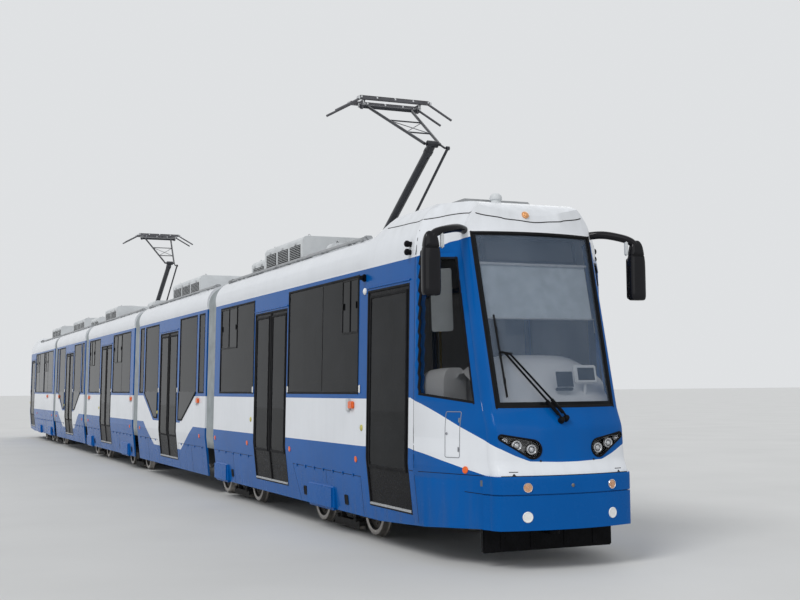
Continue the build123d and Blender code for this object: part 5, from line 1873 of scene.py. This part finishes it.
def add_roof_details(car):
    """Louvres, fans, lids and latches of the roof boxes, and conduits with clamps."""
    boxes = own(ROOF_BOXES, car)
    radius = FAN_R

    def louvres(s0, s1, height):
        """Middles and width of the louvres along a box, and the number of slats in each."""
        count = max(1, round((s1 - s0) / 0.75))
        width = (s1 - s0 - 0.1) / count
        rows = int((height - BOX_ROUND - 0.08) / SLAT_PITCH)
        return [s0 + 0.05 + (n + 0.5) * width for n in range(count)], width, rows

    def fans(s0, s1, y0, y1, height):
        """Frames on the box's top at the middles of its fans."""
        if height < FAN_BOX_HEIGHT:
            return []
        return [move((at(s0 + (s1 - s0) * part), 0.5 * (y0 + y1) - 0.32, ROOF_Z + height)) for part in (0.28, 0.72)]

    def slats(bm):
        for s0, s1, y0, y1, height in boxes:
            middles, width, rows = louvres(s0, s1, height)
            for side, y in ((-1, y0), (1, y1)):
                for s in middles:
                    for k in range(rows):
                        z = ROOF_Z + 0.055 + k * SLAT_PITCH
                        spot = move((at(s), y + side * 0.004, z)) @ rotated(-side * 0.6, "X")
                        add_box(bm, spot, (width - 0.12, 0.022, 0.004), 0.0015, 1)

    def dark(bm):
        for s0, s1, y0, y1, height in boxes:
            middles, width, rows = louvres(s0, s1, height)
            tall = rows * SLAT_PITCH
            for y in (y0, y1):
                for s in middles:
                    spot = move((at(s), y, ROOF_Z + 0.042 + tall / 2))
                    add_box(bm, spot, (width - 0.09, 0.006, tall + 0.01), 0.002, 1)
            for top in fans(s0, s1, y0, y1, height):
                add_lathe(bm, top, [(radius, 0.001), (radius, 0.006), (0, 0.006)], 32)

    def grilles(bm):
        for row in boxes:
            for top in fans(*row):
                add_lathe(bm, top, [(radius + 0.035, -0.002), (radius + 0.03, 0.016), (radius + 0.008, 0.030),
                                    (radius, 0.026), (radius - 0.002, 0.002)], 40)
                for size in (0.25, 0.45, 0.65, 0.85):
                    ring = [top @ Vector((size * radius * cos(k * pi / 16), size * radius * sin(k * pi / 16),
                                          0.024)) for k in range(32)]
                    add_pipe(bm, ring, 0.0035, 5, closed=True)
                for k in range(4):
                    way = Vector((cos(k * pi / 4), sin(k * pi / 4), 0)) * radius
                    add_pipe(bm, [top @ (Vector((0, 0, 0.021)) - way), top @ (Vector((0, 0, 0.021)) + way)], 0.005,
                             5)
                for k in range(5):
                    turn = top @ rotated(k * 2 * pi / 5, "Z") @ move((radius * 0.48, 0, 0.012))
                    add_box(bm, turn @ rotated(0.45, "X"), (radius * 0.72, 0.10, 0.004), 0.0015, 1)
                add_lathe(bm, top, [(0.06, 0.004), (0.06, 0.026), (0.045, 0.032), (0, 0.033)], 20)

    def seams(bm):
        up = Vector((0, 0, 1))
        for s0, s1, y0, y1, height in boxes:
            inner = rounded([(s0 + 0.05, y0 + BOX_ROUND + 0.02), (s1 - 0.05, y0 + BOX_ROUND + 0.02),
                             (s1 - 0.05, y1 - BOX_ROUND - 0.02), (s0 + 0.05, y1 - BOX_ROUND - 0.02)], 0.04)
            foot = [(s0 - 0.006, y0 - 0.006), (s1 + 0.006, y0 - 0.006), (s1 + 0.006, y1 + 0.006),
                    (s0 - 0.006, y1 + 0.006)]
            add_ribbon(bm, [(Vector((at(s), y, ROOF_Z + height)), up) for s, y in inner], 0.012, 0.002)
            add_ribbon(bm, [(Vector((at(s), y, ROOF_Z + 0.012)), up) for s, y in foot], 0.018, 0.010)

    def latches(bm):
        for s0, s1, y0, y1, height in boxes:
            count = max(2, round((s1 - s0) / 0.6))
            for n in range(count):
                x = at(s0 + (s1 - s0) * (n + 0.5) / count)
                for side, y in ((-1, y0), (1, y1)):
                    spot = matrix_at((x, y + side * 0.008, ROOF_Z + height - BOX_ROUND - 0.018), (0, side, 0))
                    add_box(bm, spot, (0.06, 0.03, 0.016), 0.005)
                    add_pipe(bm, [spot @ Vector((x, -0.018, 0.010)) for x in (-0.022, 0.022)], 0.005, 6)
            for s in (s0 + 0.1, s1 - 0.1):
                for y in (y0 + BOX_ROUND + 0.06, y1 - BOX_ROUND - 0.06):
                    foot = Vector((at(s), y, ROOF_Z + height - 0.004))
                    bow = [foot + Vector((x, 0, z)) for x,
                           z in ((-0.035, 0), (-0.032, 0.035), (0.032, 0.035), (0.035, 0))]
                    add_pipe(bm, smooth_path(bow, 4), 0.006, 6)

    def conduits(bm):
        front, rear = CARS[car]
        first = front + 0.25 if car != "a" else 3.3
        last = rear - 0.25 if car != "e" else 36.9
        for y, radius in ((-0.90, 0.022), (-0.955, 0.014), (0.90, 0.022)):
            count = int((last - first) / 0.5)
            path = [on_roof_skin(car, first + (last - first) * k / count, y) + Vector((0, 0, radius + 0.012))
                    for k in range(count + 1)]
            add_pipe(bm, path, radius, 10)
            for k in range(1, count, 2):
                add_box(bm, move(path[k] - Vector((0, 0, 0.010))), (0.03, 2 * radius + 0.04, 0.030), 0.006, 1)
            for end in (path[0], path[-1]):
                add_box(bm, move(end - Vector((0, 0, 0.012))), (0.10, 2 * radius + 0.05, 0.06), 0.012, 2)

    def branches(bm):
        for s0, s1, y0, y1, _ in boxes:
            for part in (0.3, 0.7):
                s = s0 + (s1 - s0) * part
                for side, y in ((-1, y0), (1, y1)):
                    path = [(at(s), y, ROOF_Z + 0.03), (at(s), (y + side * 0.9) / 2, ROOF_Z + 0.034),
                            on_roof_skin(car, s, side * 0.90) + Vector((0, 0, 0.034))]
                    add_pipe(bm, smooth_path(path, 4), 0.014, 8)

    build("roof_slats_" + car, car, "roof_box", "roof_grey", slats)
    build("roof_shadow_" + car, car, "black", "door_black", dark)
    build("roof_grilles_" + car, car, "aluminium", "roof_grey", grilles)
    build("roof_seams_" + car, car, "rubber", "door_black", seams)
    build("roof_latches_" + car, car, "aluminium", "roof_grey", latches)
    build("roof_conduits_" + car, car, "conduit", "roof_grey", conduits)
    build("roof_branches_" + car, car, "black", "door_black", branches)


# Current collectors: S of the base pivot, angles in degrees, lengths and places in metres
COLLECTORS = [("a", 5.1), ("c", 20.6)]
BASE_Z = 3.88
LOWER_ARM, LOWER_DEG = 2.1, 31
UPPER_ARM, UPPER_DEG = 1.6, 28.8
KNEE_HALF, HEAD_HALF = 0.11, 0.33
FOOT_YS = (-0.42, 0.42)
SPRING_TURNS, SPRING_STEPS = 15, 14


def add_collector_details(car, base_s):
    """Insulators, spring, damper, knee caps, carbon strips and the springs of the contact head."""
    base = Vector((at(base_s), 0, BASE_Z))
    knee = base + LOWER_ARM * Vector((cos(radians(LOWER_DEG)), 0, sin(radians(LOWER_DEG))))
    head = knee + UPPER_ARM * Vector((-cos(radians(UPPER_DEG)), 0, sin(radians(UPPER_DEG))))

    def insulators(bm):
        for x in (0.6, -0.25):
            for y in FOOT_YS:
                foot = move((base.x + x, y, ROOF_Z))
                profile = [(0.075, 0.0), (0.075, 0.006), (0.05, 0.009), (0.07, 0.014), (0.072, 0.018),
                           (0.05, 0.021), (0.07, 0.027), (0.072, 0.031), (0.05, 0.034), (0.062, 0.040),
                           (0.062, 0.0455), (0, 0.0455)]
                add_lathe(bm, foot, profile, 28)

    def spring(bm):
        start, end = base + Vector((0.57, -0.10, -0.022)), base + Vector((0.13, -0.10, -0.022))
        count = SPRING_TURNS * SPRING_STEPS
        angles = [2 * pi * k / SPRING_STEPS for k in range(count + 1)]
        coil = [start + (end - start) * (k / count) + Vector((0, 0.026 * cos(angle), 0.026 * sin(angle)))
                for k, angle in enumerate(angles)]
        add_pipe(bm, coil, 0.0045, 6)
        add_pipe(bm, [start + Vector((0.03, 0, 0)), start - Vector((0.02, 0, 0))], 0.018, 12)
        add_pipe(bm, [end + Vector((0.02, 0, 0)), end - Vector((0.06, 0, 0))], 0.018, 12)

    def damper(bm):
        start, end = base + Vector((0.57, 0.068, -0.030)), base + Vector((0.10, 0.068, -0.030))
        add_pipe(bm, [start, start * 0.45 + end * 0.55], 0.022, 16)
        add_pipe(bm, [start * 0.45 + end * 0.55, end], 0.009, 10)
        add_pipe(bm, [start + Vector((0, -0.02, 0)), start + Vector((0, 0.02, 0))], 0.02, 12)

    def bolts(bm):
        for x in (-0.27, 0.0, 0.3, 0.62):
            for y in FOOT_YS:
                add_lathe(bm, move((base.x + x, y, ROOF_Z + 0.085)),
                          [(0.016, -0.002), (0.016, 0.008), (0.009, 0.011), (0, 0.011)], 6)
        for side in SIDES:
            spot = move((base.x, side * 0.206, base.z)) @ rotated(-side * pi / 2, "X")
            add_lathe(bm, spot, [(0.052, -0.002), (0.050, 0.006), (0.030, 0.012), (0.016, 0.012), (0.014, 0.020),
                                 (0, 0.020)], 24)

    def arm_trim(bm):
        way = (knee - base).normalized()
        for part in (0.06, 0.93):
            spot = matrix_at(base + way * LOWER_ARM * part, way, (0, 1, 0))
            add_lathe(bm, spot, [(0.0545, -0.03), (0.062, -0.026), (0.062, 0.026), (0.0545, 0.03)], 28)
        for side in SIDES:
            spot = move((knee.x, side * 0.0695, knee.z)) @ rotated(-side * pi / 2, "X")
            add_lathe(bm, spot, [(0.043, -0.001), (0.040, 0.005), (0.026, 0.008), (0.024, 0.004)], 24)
        line = [base + way * LOWER_ARM * part + Vector((0.03, 0, -0.052)) for part in (0.1, 0.35, 0.65, 0.9)]
        add_pipe(bm, smooth_path(line, 4), 0.008, 8)

    def braces(bm):
        for part in (0.30, 0.62):
            half = KNEE_HALF + (HEAD_HALF - KNEE_HALF) * part
            centre = knee + (head - knee) * part
            add_pipe(bm, [centre + Vector((0, -half, 0)), centre + Vector((0, half, 0))], 0.010, 10)
        for side in SIDES:
            low = knee + (head - knee) * 0.30 + Vector((0, side * 0.176, 0))
            high = knee + (head - knee) * 0.62 - Vector((0, side * 0.246, 0))
            add_pipe(bm, [low, high], 0.006, 8)

    def strips(bm):
        for x in (-0.18, 0.18):
            for side in SIDES:
                add_box(bm, move((head.x + x, side * 0.262, head.z + 0.101)), (0.034, 0.51, 0.014), 0.004)

    def carriers(bm):
        for x in (-0.18, 0.18):
            for y in (-0.50, -0.27, 0.0, 0.27, 0.50):
                add_box(bm, move((head.x + x, y, head.z + 0.083)), (0.066, 0.03, 0.030), 0.004)
            for side in SIDES:
                add_box(bm, move((head.x + x, side * 0.535, head.z + 0.072)), (0.064, 0.04, 0.044), 0.008)

    def head_springs(bm):
        for y in (-0.42, 0.42):
            for x in (-0.09, 0.09):
                coil = [head + Vector((x + 0.016 * cos(k * pi / 5), y + 0.016 * sin(k * pi / 5),
                                       0.016 + 0.05 * k / 60)) for k in range(61)]
                add_pipe(bm, coil, 0.003, 6)
            add_box(bm, move(head + Vector((0, y, 0.012))), (0.24, 0.028, 0.008), 0.003)

    name = "collector_" + car
    build(name + "_insulators", car, "insulator", "collector_black", insulators, 50)
    build(name + "_spring", car, "aluminium", "roof_grey", spring, 60)
    build(name + "_damper", car, "black", "collector_black", damper)
    build(name + "_bolts", car, "aluminium", "roof_grey", bolts)
    build(name + "_arm_trim", name + "_lower_arm", "arm", "collector_black", arm_trim)
    build(name + "_braces", name + "_upper_frame", "arm", "collector_black", braces)
    build(name + "_carbon", name + "_head", "carbon", "collector_head", strips)
    build(name + "_carriers", name + "_head", "aluminium", "collector_head", carriers)
    build(name + "_head_springs", name + "_head", "aluminium", "collector_head", head_springs, 60)


# Bogies: name, S of the pivot
BOGIES = [("bogie_1", 4.35), ("bogie_2", 9.4), ("bogie_3", 18.25), ("bogie_4", 23.6), ("bogie_5", 32.45),
          ("bogie_6", 35.35)]
AXLE_Z = 0.352
HALF_BASE = 0.95


def add_wheelset(bogie, pivot_s, end):
    """Wheels with a flange, a conical tread, a dished web, a rubber ring and a hub, on a stepped axle."""
    body = f"{bogie}_wheels_{'front' if end > 0 else 'rear'}"
    turn = move((at(pivot_s) + end * HALF_BASE, 0, AXLE_Z)) @ rotated(-pi / 2, "X")

    def both(bm, half, steps):
        """A profile of (radius, distance from the middle) turned at both sides."""
        for side in SIDES:
            add_lathe(bm, turn, [(r, side * y) for r, y in half], steps)

    def wheels(bm):
        both(bm, [(0.055, 0.70), (0.092, 0.70), (0.095, 0.697), (0.24, 0.712), (0.262, 0.697), (0.340, 0.6955),
                  (0.349, 0.700), (0.3515, 0.708), (0.347, 0.716), (0.334, 0.722), (0.3285, 0.730), (0.3262, 0.760),
                  (0.3235, 0.797), (0.320, 0.8), (0.272, 0.8), (0.264, 0.796), (0.256, 0.778)], 56)

    def webs(bm):
        both(bm, [(0.245, 0.776), (0.235, 0.766), (0.16, 0.752), (0.125, 0.762), (0.112, 0.785), (0.105, 0.797),
                  (0.088, 0.8), (0.085, 0.792), (0.058, 0.790)], 48)
        for side in SIDES:
            for k in range(12):
                angle = k * pi / 6
                spot = turn @ move((0.19 * cos(angle), 0.19 * sin(angle), side * 0.757))
                if side < 0:
                    spot = spot @ rotated(pi, "X")
                add_lathe(bm, spot, [(0.014, -0.004), (0.014, 0.010), (0.008, 0.014), (0, 0.014)], 6)

    def rings(bm):
        both(bm, [(0.258, 0.770), (0.258, 0.781), (0.250, 0.784), (0.242, 0.779), (0.242, 0.766)], 48)

    def axle(bm):
        profile = [(0.0, -0.885), (0.04, -0.885), (0.055, -0.878), (0.055, -0.70), (0.072, -0.69), (0.072, -0.62),
                   (0.060, -0.60), (0.060, 0.60), (0.072, 0.62), (0.072, 0.69), (0.055, 0.70), (0.055, 0.878),
                   (0.04, 0.885), (0.0, 0.885)]
        add_lathe(bm, turn, profile, 32)
        both(bm, [(0.07, 0.44), (0.17, 0.44), (0.172, 0.446), (0.172, 0.474), (0.17, 0.48), (0.07, 0.48)], 40)

    build(body + "_tyres", body, "tyre", "wheel_steel", wheels, 35, [body])
    build(body + "_webs", body, "wheel_web", "bogie_steel", webs, 35)
    build(body + "_rings", body, "rubber", "door_black", rings, 35)
    build(body + "_axle", body, "wheel_web", "bogie_steel", axle, 35)


def add_bogie_details(bogie, pivot_s):
    """Axle covers, chevron springs, brake calipers, dampers and the shoes of the track brakes."""
    x0 = at(pivot_s)

    def covers(bm):
        for end, side in CORNERS:
            spot = move((x0 + end * HALF_BASE, side * 0.90, AXLE_Z)) @ rotated(-side * pi / 2, "X")
            add_lathe(bm, spot, [(0.108, -0.002), (0.108, 0.012), (0.100, 0.018), (0.070, 0.020), (0.062, 0.030),
                                 (0.030, 0.034), (0, 0.034)], 32)
            for k in range(8):
                angle = (k + 0.5) * pi / 4
                bolt = spot @ move((0.090 * cos(angle), 0.090 * sin(angle), 0.017))
                add_lathe(bm, bolt, [(0.011, -0.002), (0.011, 0.008), (0.006, 0.010), (0, 0.010)], 6)

    def springs(bm):
        for end, side in CORNERS:
            for across in SIDES:
                for n in range(5):
                    spot = move((x0 + end * HALF_BASE + across * (0.125 + 0.014 * n), side * 0.912, AXLE_Z + 0.05))
                    add_box(bm, spot @ rotated(across * 0.22, "Y"), (0.008, 0.022, 0.15 - 0.012 * n), 0.003, 1)

    def dampers(bm):
        for end, side in CORNERS:
            low = Vector((x0 + end * 0.32, side * 0.925, 0.40))
            high = Vector((x0 + end * 0.58, side * 0.925, 0.50))
            add_pipe(bm, [low, low * 0.45 + high * 0.55], 0.024, 14)
            add_pipe(bm, [low * 0.45 + high * 0.55, high], 0.013, 12)
            for eye in (low, high):
                add_pipe(bm, [eye + Vector((0, side * y, 0)) for y in (-0.03, 0.012)], 0.024, 14)

    def ribs(bm):
        for side in SIDES:
            for x in (-0.52, -0.26, 0.0, 0.26, 0.52):
                add_box(bm, move((x0 + x, side * 0.903, 0.44)), (0.018, 0.014, 0.13), 0.004)
            for z in (0.372, 0.508):
                add_box(bm, move((x0, side * 0.903, z)), (1.2, 0.016, 0.014), 0.004)
            for x in (-0.33, 0.33):
                add_box(bm, move((x0 + x, side * 0.76, 0.152)), (0.10, 0.13, 0.05), 0.010)

    def shoes(bm):
        for side in SIDES:
            for n in range(7):
                x = -0.39 + 0.13 * n
                add_box(bm, move((x0 + x, side * 0.76, 0.052)), (0.118, 0.070, 0.030), 0.006)
            for end in SIDES:
                add_box(bm, move((x0 + end * 0.455, side * 0.76, 0.062)), (0.03, 0.075, 0.045), 0.010)

    def hoses(bm):
        for end, side in CORNERS:
            points = [(x0 + end * x, side * y, z) for x, y, z in
                      ((0.30, 0.62, 0.515), (0.42, 0.70, 0.56), (0.60, 0.80, 0.55), (0.72, 0.865, 0.49))]
            add_pipe(bm, smooth_path(points, 5), 0.012, 8)

    build(bogie + "_axle_covers", bogie, "bogie", "bogie_steel", covers, 35)
    build(bogie + "_springs", bogie, "rubber", "door_black", springs)
    build(bogie + "_dampers", bogie, "black", "bogie_steel", dampers)
    build(bogie + "_ribs", bogie, "bogie", "bogie_steel", ribs)
    build(bogie + "_brake_shoes", bogie, "tyre", "wheel_steel", shoes)
    build(bogie + "_pipes", bogie, "rubber", "door_black", hoses)


bpy.context.scene.view_settings.view_transform = "Standard"
add_camera()
add_lights()
add_floor()
dress_nodes()
for pair in ("ab", "bc", "cd", "de"):
    add_bellows(*pair)
for car in CARS:
    add_seals(car)
    add_vents(car)
    add_seams(car)
    add_side_fittings(car)
    add_jack_holes(car)
    add_seats(car)
    add_side_forms(car)
    add_roof_details(car)
for number, row in enumerate(DOORS, 1):
    add_door_trim(number, *row)
for row in COLLECTORS:
    add_collector_details(*row)
for bogie, pivot_s in BOGIES:
    add_bogie_details(bogie, pivot_s)
    for end in (1, -1):
        add_wheelset(bogie, pivot_s, end)
for end in (1, -1):
    add_clusters(end)
    add_bumper_fittings(end)
    add_dash(end)
add_wiper()
add_nose_details()
add_cab_frame()
add_mirrors()
add_mirror_details()
add_cab_details()
add_console()
add_blind()
add_driver_seat()
